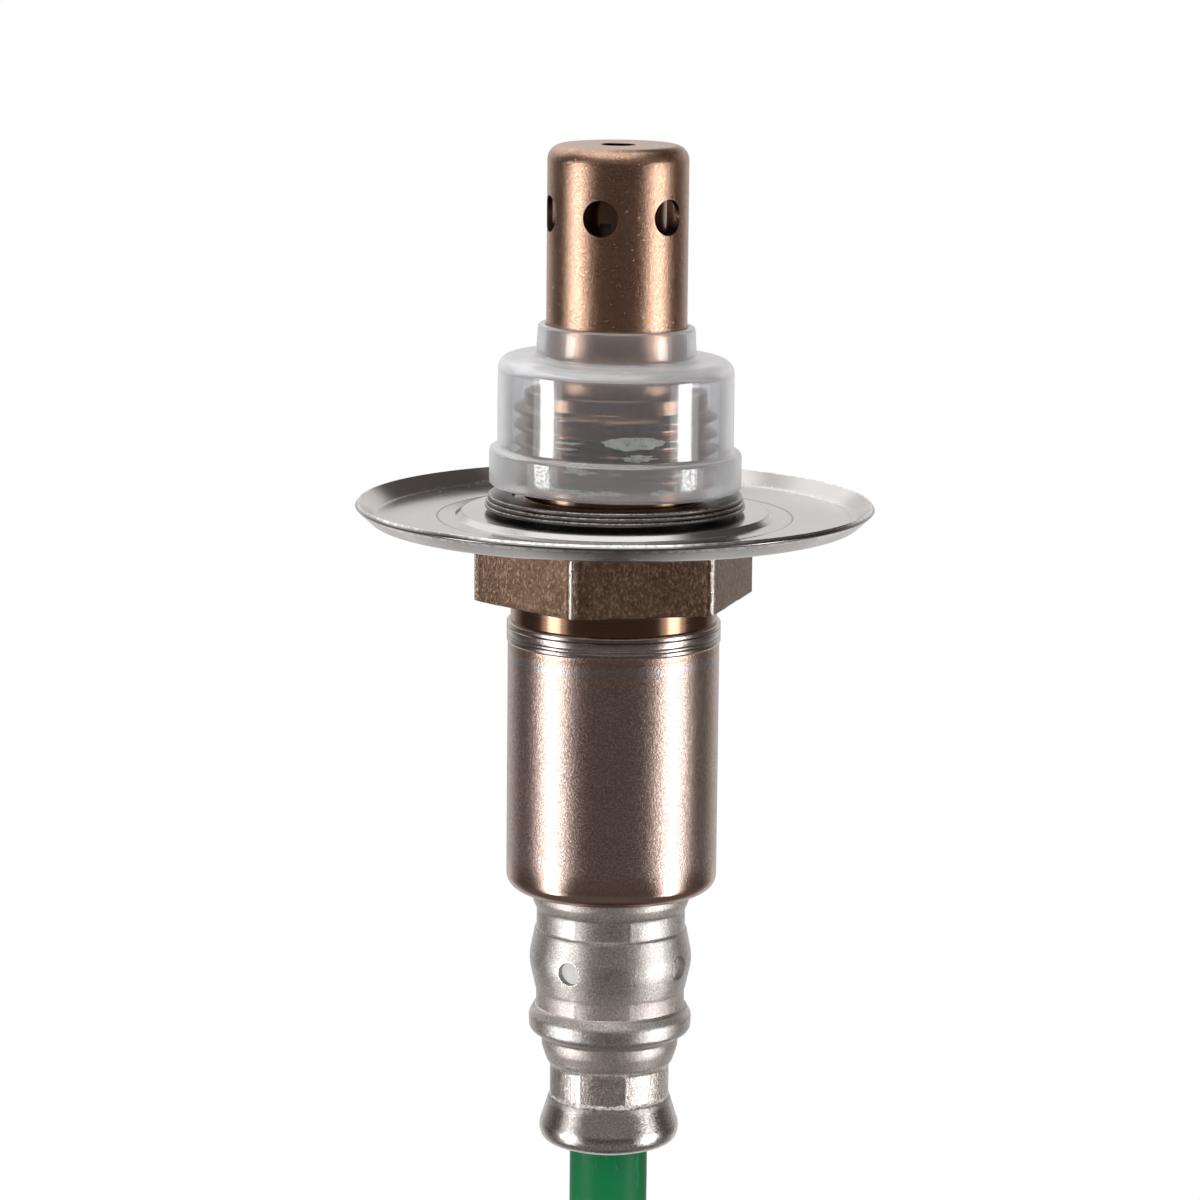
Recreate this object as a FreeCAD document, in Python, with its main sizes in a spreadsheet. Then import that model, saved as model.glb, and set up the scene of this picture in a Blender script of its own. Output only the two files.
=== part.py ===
import FreeCAD, Part
import Sketcher
import math
import os

# Heated oxygen sensor, tip up. Millimetres, +Z toward the tip.
# The origin is the centre of the sealing seat, on the gasket's top face.
# Turns are degrees about Z, counted from the front (-Y) toward +X.

SIZES = {
    # housing, threaded nose
    "threadDiameter": 18.0,
    "noseLength": 9.4,
    "pilotDiameter": 16.1,
    "pilotLength": 1.0,
    "undercutDiameter": 16.0,
    "undercutLength": 1.4,
    "shoulderDrop": 0.3,
    # housing, hexagon and neck
    "hexAcrossFlats": 22.0,
    "hexHeight": 6.86,
    "washerFaceDiameter": 21.4,
    "washerFaceHeight": 0.4,
    "hexTurn": -17.1,
    "hexEdgeRadius": 0.3,
    "neckDiameter": 18.35,
    "neckLength": 1.94,
    "spigotLength": 2.8,
    "skirtDiameter": 15.4,
    # housing, bore
    "gasBoreDiameter": 9.6,
    "packingBoreDiameter": 13.4,
    "coneTop": 2.2,
    "noseLip": 0.7,
    "skirtLip": 1.0,
    "skirtLipReach": 1.2,
    # clearances
    "slipFit": 0.05,
    "ringClearance": 0.1,
    # sealing gasket and heat shield
    "gasketDiameter": 23.05,
    "gasketThickness": 1.5,
    "gasketFolds": 4,
    "foldDepth": 0.35,
    "shieldDiameter": 46.0,
    "shieldThickness": 0.5,
    "plateDiameter": 27.0,
    "stepWidth": 2.3,
    "stepDrop": 0.5,
    "rimHeight": 1.3,
    "rimFlare": 1.7,
    "shieldBend": 0.6,
    # sensing element, heater and seals
    "elementDiameter": 6.4,
    "elementNose": 23.8,
    "elementFlangeDiameter": 12.6,
    "elementFlangeHeight": 3.8,
    "elementShankDiameter": 8.8,
    "elementShankLength": 16.3,
    "elementBoreDiameter": 4.4,
    "elementTipWall": 1.5,
    "heaterDiameter": 3.0,
    "heaterTipGap": 0.3,
    "heaterTail": 7.0,
    "packingRingHeight": 0.6,
    "packingRingInset": 0.15,
    "powderHeight": 5.3,
    "sleeveHeight": 4.5,
    "crimpRingHeight": 0.8,
    "crimpRingWidth": 1.6,
    # protectors
    "innerProtectorDiameter": 8.6,
    "innerProtectorWall": 0.4,
    "innerSlotWidth": 1.0,
    "innerSlotLength": 3.6,
    "innerSlotDrop": 6.2,
    "innerSlotCount": 6,
    "innerTopHole": 2.0,
    "tipGap": 1.3,
    "protectorDiameter": 12.42,
    "protectorWall": 0.5,
    "protectorGap": 1.65,
    "protectorEdgeRadius": 1.3,
    "protectorTopHole": 3.0,
    "sideHoleDiameter": 3.2,
    "sideHoleDrop": 5.95,
    "sideHoleCount": 6,
    "sideHoleTurn": -14.6,
    "protectorFlange": 1.1,
    # shipping cap
    "capWall": 0.85,
    "capThreadGap": 0.45,
    "capNeckWall": 0.66,
    "capNeckDraft": 0.18,
    "capSideDraft": 0.15,
    "capHeadroom": 1.45,
    "capNeckHeight": 3.3,
    "capLipWidth": 0.7,
    "capLipHeight": 3.55,
    "capStandoff": 0.75,
    "capShoulderRadius": 1.6,
    # barrel cover
    "barrelDiameter": 18.83,
    "barrelWall": 0.7,
    "barrelLength": 24.3,
    "barrelBottomRadius": 1.5,
    "collarDiameter": 19.04,
    "collarHeight": 2.0,
    "stemDiameter": 10.72,
    "stemWall": 0.5,
    "stemLength": 14.5,
    "stemTaper": 1.3,
    "throatDiameter": 9.32,
    "throatLength": 6.3,
    # vent cover and filter
    "ventWall": 0.5,
    "filterThickness": 0.42,
    "filterTopGap": 1.4,
    "filterLength": 10.6,
    "ventHoleDiameter": 2.1,
    "ventHoleDrop": 6.8,
    "ventHoleCount": 4,
    "ventHoleTurn": -31.3,
    "ventTopDiameter": 13.8,
    "bulgeDiameter": 14.48,
    "beadDiameter": 14.32,
    "stepSleeveDiameter": 12.2,
    "flareDiameter": 12.46,
    "topCrimpDrop": 1.6,
    "topCrimpHeight": 3.0,
    "middleCrimpDrop": 8.6,
    "middleCrimpHeight": 2.0,
    "beadDrop": 11.4,
    "beadHeight": 1.4,
    "stepSleeveDrop": 13.4,
    "stepSleeveHeight": 1.4,
    "endCrimpDrop": 16.1,
    "endCrimpHeight": 3.5,
    "flareDrop": 21.9,
    "ventLength": 23.9,
    "ventMouthDiameter": 7.8,
    "crimpTurn": 15.6,
    # ceramic separator and spring
    "separatorDiameter": 13.2,
    "separatorTopGap": 4.2,
    "separatorFlangeHeight": 3.3,
    "heaterTailGap": 0.3,
    "terminalHoleDiameter": 2.5,
    "terminalCircle": 7.4,
    "springHeight": 1.0,
    "springThickness": 0.4,
    # terminals
    "terminalThickness": 0.3,
    "terminalWidth": 1.2,
    "clipHeight": 3.0,
    "innerClipHeight": 7.0,
    "heaterClipHeight": 2.6,
    "clipSpan": 240.0,
    "heaterClipSpan": 110.0,
    # leads and grommet
    "leadDiameter": 1.9,
    "leadCircle": 4.6,
    "leadFan": 9.0,
    "grommetTop": 10.8,
    "grommetFlangeDiameter": 9.8,
    "grommetFlangeHeight": 1.0,
    # cord
    "cordDiameter": 7.0,
    "cordDrop": 26.0,
    "hankLoopRadius": 21.0,
    "hankSpan": 75.0,
    "hankSlack": 0.5,
    "hankFront": 10.0,
    "hankBack": 8.0,
    "hankWaist": 15.0,
    "tieWidth": 4.0,
    "tieThickness": 1.2,
    "tailDrop": 13.0,
    "tailOffset": 4.0,
    # connector
    "bootLength": 22.0,
    "bootTopDiameter": 11.0,
    "bootDiameter": 17.6,
    "bootWall": 1.8,
    "bootCapLength": 9.0,
    "bootGrooveDepth": 0.9,
    "bootGrooveCount": 3,
    "rearWidth": 21.0,
    "rearDepth": 15.4,
    "rearLength": 12.0,
    "rearNeckDiameter": 14.0,
    "rearNeckLength": 6.0,
    "shroudWidth": 24.0,
    "shroudDepth": 18.0,
    "shroudLength": 17.0,
    "shroudWall": 1.6,
    "shroudMouthDepth": 15.0,
    "shroudCornerRadius": 2.4,
    "latchWidth": 6.0,
    "latchRise": 1.6,
    "latchLength": 5.0,
    "terminalPitch": 5.6,
    "cavityDiameter": 2.6,
    "sealDiameter": 4.4,
    "sealLength": 4.0,
    "tabWidth": 1.5,
    "tabThickness": 0.64,
    "tabReach": 9.0,
    "lockThickness": 2.0,
    "lockInset": 1.5,
    "lockDrop": 5.0,
}


class Size:
    # A number together with the sheet formula it comes from, so each formula is written once.
    def __init__(self, value, text):
        self.value = value
        self.text = text

    def combine(self, other, sign, value):
        return Size(value, "(" + self.text + " " + sign + " " + as_size(other).text + ")")

    def __add__(self, other):
        return self.combine(other, "+", self.value + as_size(other).value)

    def __sub__(self, other):
        return self.combine(other, "-", self.value - as_size(other).value)

    def __mul__(self, other):
        return self.combine(other, "*", self.value * as_size(other).value)

    def __truediv__(self, other):
        return self.combine(other, "/", self.value / as_size(other).value)

    def __radd__(self, other):
        return as_size(other) + self

    def __rsub__(self, other):
        return as_size(other) - self

    def __rmul__(self, other):
        return as_size(other) * self

    def __neg__(self):
        return Size(-self.value, "(0 - " + self.text + ")")

    def cos(self):
        return Size(math.cos(math.radians(self.value)), "cos(" + self.text + ")")

    def sin(self):
        return Size(math.sin(math.radians(self.value)), "sin(" + self.text + ")")


def as_size(number):
    if isinstance(number, Size):
        return number
    return Size(float(number), "(" + repr(float(number)) + ")")


class Sheet:
    # The driving dimensions, one row each, read back as sizes by name.
    def __init__(self, document, rows):
        table = document.addObject("Spreadsheet::Sheet", "Sizes")
        for row, (alias, value) in enumerate(rows.items(), start=1):
            table.set("A%d" % row, alias)
            table.set("B%d" % row, str(value))
            table.setAlias("B%d" % row, alias)
            setattr(self, alias, Size(value, "Sizes." + alias))


doc = FreeCAD.newDocument("oxygen_sensor")
size = Sheet(doc, SIZES)
doc.recompute()
nodes = []


def vector(x, y, z):
    return FreeCAD.Vector(x, y, z)


def bind(thing, name, amount):
    thing.setExpression(name, as_size(amount).text)


def keep(thing, name):
    # Marks a finished sub-part: its label is its node's name.
    thing.Label = name
    nodes.append(thing)
    return thing


def new_body(name):
    body = doc.addObject("PartDesign::Body", name + "_body")
    return keep(body, name)


def attached_sketch(body, name, plane, level=0.0):
    sketch = body.newObject("Sketcher::SketchObject", name)
    side = [feature for feature in body.Origin.OriginFeatures if feature.Role == plane][0]
    sketch.AttachmentSupport = [(side, "")]
    sketch.MapMode = "FlatFace"
    bind(sketch, "AttachmentOffset.Base.z", level)
    return sketch


def constrain(sketch, kind, where, amount):
    amount = as_size(amount)
    number = sketch.addConstraint(Sketcher.Constraint(kind, *where, amount.value))
    sketch.setExpression("Constraints[%d]" % number, amount.text)


def arc_between(start, end, radius, side):
    # The short arc from start to end that bulges to the right (side 1) or left (side -1) of travel.
    middle = (start + end) * 0.5
    chord = end - start
    half = chord.Length / 2
    depth = math.sqrt(max(radius * radius - half * half, 0.0))
    right = vector(chord.y, -chord.x, 0).normalize() * side
    peak = middle + right * (radius - depth)
    return Part.Arc(start, peak, end)


def draw_outline(sketch, points, arcs=None):
    # A closed outline: straight between points, or the arc (radius, side) listed for that stretch.
    arcs = arcs or {}
    points = [(as_size(x), as_size(y)) for x, y in points]
    corners = [vector(x.value, y.value, 0) for x, y in points]
    first = sketch.GeometryCount
    ends = []
    for index, corner in enumerate(corners):
        after = corners[(index + 1) % len(corners)]
        if index not in arcs:
            sketch.addGeometry(Part.LineSegment(corner, after), False)
            ends.append((first + index, 1, 2))
            continue
        radius, side = arcs[index]
        arc = arc_between(corner, after, as_size(radius).value, side)
        sketch.addGeometry(arc, False)
        begins_here = (sketch.getPoint(first + index, 1) - corner).Length < 1e-6
        ends.append((first + index, 1, 2) if begins_here else (first + index, 2, 1))
    for index, (edge, start, stop) in enumerate(ends):
        next_edge, next_start, _ = ends[(index + 1) % len(ends)]
        sketch.addConstraint(Sketcher.Constraint("Coincident", edge, stop, next_edge, next_start))
    for (x, y), (edge, start, _) in zip(points, ends):
        if abs(x.value) < 1e-9:
            sketch.addConstraint(Sketcher.Constraint("PointOnObject", edge, start, -2))
        else:
            constrain(sketch, "DistanceX", (-1, 1, edge, start), x)
        if abs(y.value) < 1e-9:
            sketch.addConstraint(Sketcher.Constraint("PointOnObject", edge, start, -1))
        else:
            constrain(sketch, "DistanceY", (-1, 1, edge, start), y)
    for index, (radius, _) in arcs.items():
        constrain(sketch, "Radius", (ends[index][0],), radius)


def draw_circle(sketch, x, y, radius):
    x, y, radius = as_size(x), as_size(y), as_size(radius)
    circle = Part.Circle(vector(x.value, y.value, 0), vector(0, 0, 1), radius.value)
    edge = sketch.addGeometry(circle, False)
    constrain(sketch, "Radius", (edge,), radius)
    if abs(x.value) < 1e-9 and abs(y.value) < 1e-9:
        sketch.addConstraint(Sketcher.Constraint("Coincident", edge, 3, -1, 1))
        return
    for kind, place, axis in (("DistanceX", x, -2), ("DistanceY", y, -1)):
        if abs(place.value) < 1e-9:
            sketch.addConstraint(Sketcher.Constraint("PointOnObject", edge, 3, axis))
        else:
            constrain(sketch, kind, (-1, 1, edge, 3), place)


def rectangle(x, y, width, depth):
    # Corner points of a rectangle centred on x, y.
    return [
        (x - width / 2, y - depth / 2),
        (x + width / 2, y - depth / 2),
        (x + width / 2, y + depth / 2),
        (x - width / 2, y + depth / 2),
    ]


def polygon_points(count, inscribed, turn):
    # Corners of a regular polygon from the radius to its flats; turn is a corner's angle.
    corner_radius = as_size(inscribed) / as_size(180.0 / count).cos()
    angles = [as_size(turn) + 360.0 / count * index for index in range(count)]
    return [(corner_radius * angle.cos(), corner_radius * angle.sin()) for angle in angles]


def revolve(body, name, outline, arcs=None, cut=False):
    sketch = attached_sketch(body, name + "_outline", "XZ_Plane")
    draw_outline(sketch, outline, arcs)
    kind = "PartDesign::Groove" if cut else "PartDesign::Revolution"
    turned = body.newObject(kind, name)
    turned.Profile = sketch
    turned.ReferenceAxis = (sketch, ["V_Axis"])
    turned.Angle = 360
    return turned


def turned_part(name, outline, arcs=None):
    body = new_body(name)
    revolve(body, name + "_turned", outline, arcs)
    return body


def pad(body, name, sketch, length):
    block = body.newObject("PartDesign::Pad", name)
    block.Profile = sketch
    bind(block, "Length", length)
    return block


def pocket(body, name, sketch, length, upward=False):
    # Cuts below its sketch, or above it when upward.
    cut = body.newObject("PartDesign::Pocket", name)
    cut.Profile = sketch
    cut.Reversed = upward
    bind(cut, "Length", length)
    return cut


def around(body, name, feature, count):
    # Repeats a feature evenly around the body's own Z axis.
    pattern = body.newObject("PartDesign::PolarPattern", name)
    pattern.Originals = [feature]
    axis = [line for line in body.Origin.OriginFeatures if line.Role == "Z_Axis"][0]
    pattern.Axis = (axis, [""])
    pattern.Angle = 360
    bind(pattern, "Occurrences", count)
    body.Tip = pattern
    return pattern


def turn(body, angle):
    body.Placement = FreeCAD.Placement(vector(0, 0, 0), FreeCAD.Rotation(vector(0, 0, 1), 10.0))
    bind(body, "Placement.Rotation.Angle", angle)


def rings_at(shape, radius, level):
    # Names of the full circles of one radius at one level.
    found = []
    for number, edge in enumerate(shape.Edges, start=1):
        if not isinstance(edge.Curve, Part.Circle):
            continue
        same_radius = abs(edge.Curve.Radius - radius.value) < 1e-4
        if same_radius and abs(edge.Curve.Center.z - level.value) < 1e-4:
            found.append("Edge%d" % number)
    return found


def round_rings(body, name, rings, radius):
    doc.recompute()
    base = body.Tip
    edges = []
    for ring_radius, level in rings:
        edges += rings_at(base.Shape, ring_radius, level)
    rounded = body.newObject("PartDesign::Fillet", name)
    rounded.Base = (base, edges)
    bind(rounded, "Radius", radius)


def upright_edges(shape, far_enough):
    # Names of the straight edges along Z that lie further out than far_enough.
    found = []
    for number, edge in enumerate(shape.Edges, start=1):
        if len(edge.Vertexes) != 2 or not isinstance(edge.Curve, Part.Line):
            continue
        start, end = edge.Vertexes[0].Point, edge.Vertexes[1].Point
        upright = math.hypot(end.x - start.x, end.y - start.y) < 1e-6
        if upright and math.hypot(start.x, start.y) > far_enough:
            found.append("Edge%d" % number)
    return found


def round_uprights(body, name, far_enough, radius):
    doc.recompute()
    base = body.Tip
    rounded = body.newObject("PartDesign::Fillet", name)
    rounded.Base = (base, upright_edges(base.Shape, far_enough))
    bind(rounded, "Radius", radius)


# Radii and levels that several pieces share

thread_radius = size.threadDiameter / 2
gas_bore_radius = size.gasBoreDiameter / 2
packing_bore_radius = size.packingBoreDiameter / 2
element_radius = size.elementDiameter / 2
element_flange_radius = size.elementFlangeDiameter / 2
element_shank_radius = size.elementShankDiameter / 2
heater_radius = size.heaterDiameter / 2
protector_radius = size.protectorDiameter / 2
inner_protector_radius = size.innerProtectorDiameter / 2
barrel_radius = size.barrelDiameter / 2
barrel_bore_radius = barrel_radius - size.barrelWall
stem_radius = size.stemDiameter / 2
throat_radius = size.throatDiameter / 2
cord_radius = size.cordDiameter / 2
terminal_circle_radius = size.terminalCircle / 2
lead_circle_radius = size.leadCircle / 2
lead_radius = size.leadDiameter / 2

gasket_bottom = -size.gasketThickness
seat_bottom = gasket_bottom - size.shieldThickness
hex_top = seat_bottom - size.washerFaceHeight
hex_bottom = hex_top - size.hexHeight
neck_bottom = hex_bottom - size.neckLength
nose_lip_bottom = size.noseLength - size.noseLip
recess_floor = nose_lip_bottom - size.innerProtectorWall - size.protectorWall
recess_radius = protector_radius + size.protectorFlange + size.slipFit

# The thimble's cone lies on the packing ring, and the ring on the housing's cone, all at 45 degrees.
element_cone_top = size.coneTop - size.packingRingHeight
element_flange_top = element_cone_top + gas_bore_radius - element_flange_radius
element_flange_bottom = element_flange_top - size.elementFlangeHeight
element_neck_level = element_cone_top + gas_bore_radius - element_radius
element_tip = element_neck_level + size.elementNose
element_end = element_flange_bottom - size.elementShankLength
powder_bottom = element_flange_bottom - size.powderHeight
sleeve_bottom = powder_bottom - size.sleeveHeight
crimp_ring_bottom = sleeve_bottom - size.crimpRingHeight
housing_bottom = crimp_ring_bottom - size.skirtLip

barrel_bottom = neck_bottom - size.barrelLength
barrel_floor = barrel_bottom + size.barrelWall
stem_bottom = barrel_bottom - size.stemLength
throat_top = stem_bottom - size.stemTaper
throat_bottom = throat_top - size.throatLength

separator_bottom = barrel_floor + size.springHeight
separator_flange_top = separator_bottom + size.separatorFlangeHeight
separator_top = element_end - size.separatorTopGap
heater_end = element_end - size.heaterTail
lead_top = separator_flange_top
grommet_bottom = throat_bottom - size.grommetFlangeHeight
grommet_top = grommet_bottom + size.grommetTop

cord_top = grommet_bottom
hank_top = cord_top - size.cordDrop
hank_outer_radius = size.hankLoopRadius + cord_radius + size.hankSlack
upper_loop_level = hank_top - hank_outer_radius
lower_loop_level = upper_loop_level - size.hankSpan
hank_bottom = lower_loop_level - hank_outer_radius
tie_level = upper_loop_level - size.hankSpan / 2
connector_top = hank_bottom - size.tailDrop


def make_housing():
    pilot_radius = size.pilotDiameter / 2
    undercut_radius = size.undercutDiameter / 2
    washer_face_radius = size.washerFaceDiameter / 2
    neck_radius = size.neckDiameter / 2
    spigot_radius = barrel_bore_radius - size.slipFit
    skirt_radius = size.skirtDiameter / 2
    lip_radius = protector_radius + size.ringClearance
    skirt_lip_radius = packing_bore_radius - size.skirtLipReach
    pilot_bottom = size.noseLength - size.pilotLength
    spigot_bottom = neck_bottom - size.spigotLength
    shoulder_level = -size.shoulderDrop
    cone_depth = packing_bore_radius - gas_bore_radius
    outline = [
        (lip_radius, size.noseLength),
        (pilot_radius, size.noseLength),
        (pilot_radius, pilot_bottom),
        (thread_radius, pilot_bottom - (thread_radius - pilot_radius)),
        (thread_radius, size.undercutLength + (thread_radius - undercut_radius)),
        (undercut_radius, size.undercutLength),
        (undercut_radius, shoulder_level),
        (thread_radius, shoulder_level),
        (thread_radius, seat_bottom),
        (washer_face_radius, seat_bottom),
        (washer_face_radius, hex_top),
        (neck_radius, hex_top),
        (neck_radius, neck_bottom),
        (spigot_radius, neck_bottom),
        (spigot_radius, spigot_bottom),
        (skirt_radius, spigot_bottom),
        (skirt_radius, housing_bottom),
        (skirt_lip_radius, housing_bottom),
        (skirt_lip_radius, crimp_ring_bottom),
        (packing_bore_radius, crimp_ring_bottom),
        (packing_bore_radius, size.coneTop - cone_depth),
        (gas_bore_radius, size.coneTop),
        (gas_bore_radius, recess_floor),
        (recess_radius, recess_floor),
        (recess_radius, nose_lip_bottom),
        (lip_radius, nose_lip_bottom),
    ]
    body = new_body("housing")
    revolve(body, "housing_turned", outline)
    hexagon = attached_sketch(body, "hexagon", "XY_Plane", hex_bottom)
    draw_outline(hexagon, polygon_points(6, size.hexAcrossFlats / 2, size.hexTurn - 90))
    draw_circle(hexagon, 0, 0, (packing_bore_radius + neck_radius) / 2)
    pad(body, "hexagon_forged", hexagon, size.hexHeight)
    round_uprights(body, "hexagon_edges", (size.hexAcrossFlats / 2).value, size.hexEdgeRadius)


def make_gasket():
    inner = thread_radius + size.ringClearance
    outer = size.gasketDiameter / 2
    fold = size.gasketThickness / size.gasketFolds
    groove = outer - size.foldDepth
    outline = [(inner, gasket_bottom)]
    for index in range(SIZES["gasketFolds"]):
        floor = gasket_bottom + fold * index
        outline += [
            (groove, floor),
            (outer, floor + fold * 0.3),
            (outer, floor + fold * 0.7),
        ]
    outline += [(groove, 0), (inner, 0)]
    turned_part("gasket", outline)


def make_heat_shield():
    top = gasket_bottom
    bottom = seat_bottom
    plate = size.plateDiameter / 2
    step = plate + size.stepWidth
    rim = size.shieldDiameter / 2
    pan_top = top - size.stepDrop
    pan_bottom = bottom - size.stepDrop
    rim_foot = rim - size.rimFlare
    rim_top = pan_top + size.rimHeight
    outline = [
        (thread_radius + size.ringClearance, bottom),
        (plate, bottom),
        (step, pan_bottom),
        (rim_foot, pan_bottom),
        (rim, rim_top),
        (rim - size.shieldThickness, rim_top),
        (rim_foot - size.shieldThickness, pan_top),
        (step, pan_top),
        (plate, top),
        (thread_radius + size.ringClearance, top),
    ]
    body = turned_part("heat_shield", outline)
    bends = [(rim_foot - size.shieldThickness, pan_top), (rim_foot, pan_bottom)]
    round_rings(body, "rim_bend", bends, size.shieldBend)


def make_sensing_element():
    bore = size.elementBoreDiameter / 2
    bore_top = element_tip - size.elementTipWall
    outline = [
        (0, element_tip),
        (element_radius, element_tip - element_radius),
        (element_radius, element_neck_level),
        (element_flange_radius, element_flange_top),
        (element_flange_radius, element_flange_bottom),
        (element_shank_radius, element_flange_bottom),
        (element_shank_radius, element_end),
        (bore, element_end),
        (bore, bore_top - bore),
        (0, bore_top),
    ]
    turned_part("sensing_element", outline, {0: (element_radius, -1), 8: (bore, 1)})


def make_seals():
    ring_inner = gas_bore_radius + size.packingRingInset
    ring_outer = element_flange_radius - size.packingRingInset
    inner_level = size.coneTop - size.packingRingInset
    outer_level = size.coneTop + gas_bore_radius - ring_outer
    turned_part("packing_ring", [
        (ring_inner, inner_level),
        (ring_outer, outer_level),
        (ring_outer, outer_level - size.packingRingHeight),
        (ring_inner, inner_level - size.packingRingHeight),
    ])
    bore_side = packing_bore_radius - size.slipFit
    shank_side = element_shank_radius + size.slipFit
    stack = [
        ("powder_seal", shank_side, element_flange_bottom, powder_bottom),
        ("insulator_sleeve", shank_side, powder_bottom, sleeve_bottom),
        ("crimp_ring", bore_side - size.crimpRingWidth, sleeve_bottom, crimp_ring_bottom),
    ]
    for name, inside, top, bottom in stack:
        turned_part(name, [(inside, top), (bore_side, top), (bore_side, bottom), (inside, bottom)])


def make_heater_rod():
    top = element_tip - size.elementTipWall - size.heaterTipGap
    turned_part("heater_rod", [
        (0, top),
        (heater_radius, top - heater_radius),
        (heater_radius, heater_end),
        (0, heater_end),
    ], {0: (heater_radius, -1)})


def make_inner_protector():
    wall = size.innerProtectorWall
    top = element_tip + size.tipGap + wall
    flange_top = recess_floor + wall
    body = turned_part("inner_protector", [
        (inner_protector_radius - wall, recess_floor),
        (recess_radius - size.slipFit, recess_floor),
        (recess_radius - size.slipFit, flange_top),
        (inner_protector_radius, flange_top),
        (inner_protector_radius, top),
        (size.innerTopHole / 2, top),
        (size.innerTopHole / 2, top - wall),
        (inner_protector_radius - wall, top - wall),
    ])
    slot = attached_sketch(body, "gas_slot", "XZ_Plane")
    slot_middle = top - size.innerSlotDrop
    draw_outline(slot, rectangle(as_size(0), slot_middle, size.innerSlotWidth, size.innerSlotLength))
    cut = pocket(body, "gas_slot_cut", slot, inner_protector_radius + 1, upward=True)
    around(body, "gas_slots", cut, size.innerSlotCount)
    turn(body, size.sideHoleTurn)


def make_outer_protector():
    wall = size.protectorWall
    top = element_tip + size.tipGap + size.innerProtectorWall + size.protectorGap + wall
    flange_bottom = recess_floor + size.innerProtectorWall
    edge = size.protectorEdgeRadius
    body = turned_part("outer_protector", [
        (protector_radius - wall, flange_bottom),
        (recess_radius - size.slipFit, flange_bottom),
        (recess_radius - size.slipFit, flange_bottom + wall),
        (protector_radius, flange_bottom + wall),
        (protector_radius, top - edge),
        (protector_radius - edge, top),
        (size.protectorTopHole / 2, top),
        (size.protectorTopHole / 2, top - wall),
        (protector_radius - edge, top - wall),
        (protector_radius - wall, top - edge),
    ], {4: (edge, 1), 8: (edge - wall, -1)})
    hole = attached_sketch(body, "side_hole", "XZ_Plane")
    draw_circle(hole, 0, top - size.sideHoleDrop, size.sideHoleDiameter / 2)
    cut = pocket(body, "side_hole_cut", hole, protector_radius + 1, upward=True)
    around(body, "side_holes", cut, size.sideHoleCount)
    turn(body, size.sideHoleTurn)


def make_protective_cap():
    side_inner = thread_radius + size.capThreadGap
    side_outer = side_inner + size.capWall
    neck_inner = protector_radius + size.slipFit
    neck_outer = neck_inner + size.capNeckWall
    shoulder = size.noseLength + size.capHeadroom + size.capWall
    neck_top = shoulder + size.capNeckHeight
    lip_top = size.capStandoff + size.capLipHeight
    side_foot = side_outer + size.capSideDraft
    body = turned_part("protective_cap", [
        (neck_inner, neck_top),
        (neck_outer, neck_top),
        (neck_outer + size.capNeckDraft, shoulder),
        (side_outer, shoulder),
        (side_foot, lip_top),
        (side_foot + size.capLipWidth, lip_top),
        (side_foot + size.capLipWidth, size.capStandoff),
        (side_foot - size.capWall, size.capStandoff),
        (side_inner, shoulder - size.capWall),
        (neck_inner + size.capNeckDraft, shoulder - size.capWall),
    ])
    round_rings(body, "shoulder_round", [(side_outer, shoulder)], size.capShoulderRadius)


def make_barrel_cover():
    collar_radius = size.collarDiameter / 2
    corner = size.barrelBottomRadius
    outline = [
        (barrel_bore_radius, neck_bottom),
        (collar_radius, neck_bottom),
        (collar_radius, neck_bottom - size.collarHeight),
        (barrel_radius, neck_bottom - size.collarHeight),
        (barrel_radius, barrel_bottom + corner),
        (barrel_radius - corner, barrel_bottom),
        (stem_radius, barrel_bottom),
        (stem_radius, stem_bottom),
        (throat_radius, throat_top),
        (throat_radius, throat_bottom),
        (throat_radius - size.stemWall, throat_bottom),
        (throat_radius - size.stemWall, throat_top),
        (stem_radius - size.stemWall, stem_bottom),
        (stem_radius - size.stemWall, barrel_floor),
        (barrel_radius - corner, barrel_floor),
        (barrel_bore_radius, barrel_bottom + corner),
    ]
    body = turned_part("barrel_cover", outline, {4: (corner, -1), 14: (corner - size.barrelWall, 1)})
    vent_holes(body, stem_radius)
    turn(body, size.ventHoleTurn)


def vent_holes(body, wall_radius):
    hole = attached_sketch(body, "vent_hole", "XZ_Plane")
    draw_circle(hole, 0, barrel_bottom - size.ventHoleDrop, size.ventHoleDiameter / 2)
    cut = pocket(body, "vent_hole_cut", hole, wall_radius + 3, upward=True)
    around(body, "vent_holes", cut, size.ventHoleCount)


def filter_inner_radius():
    return stem_radius + size.slipFit


def crimp_flat_radius():
    # From the axis to a flat of the two upper crimps, which press the filter on the stem.
    return filter_inner_radius() + size.filterThickness + size.slipFit + size.ventWall


def end_crimp_flat_radius():
    return throat_radius + size.slipFit + size.ventWall


def make_vent_filter():
    top = barrel_bottom - size.filterTopGap
    inside = filter_inner_radius()
    outside = inside + size.filterThickness
    turned_part("vent_filter", [
        (inside, top),
        (outside, top),
        (outside, top - size.filterLength),
        (inside, top - size.filterLength),
    ])


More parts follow.
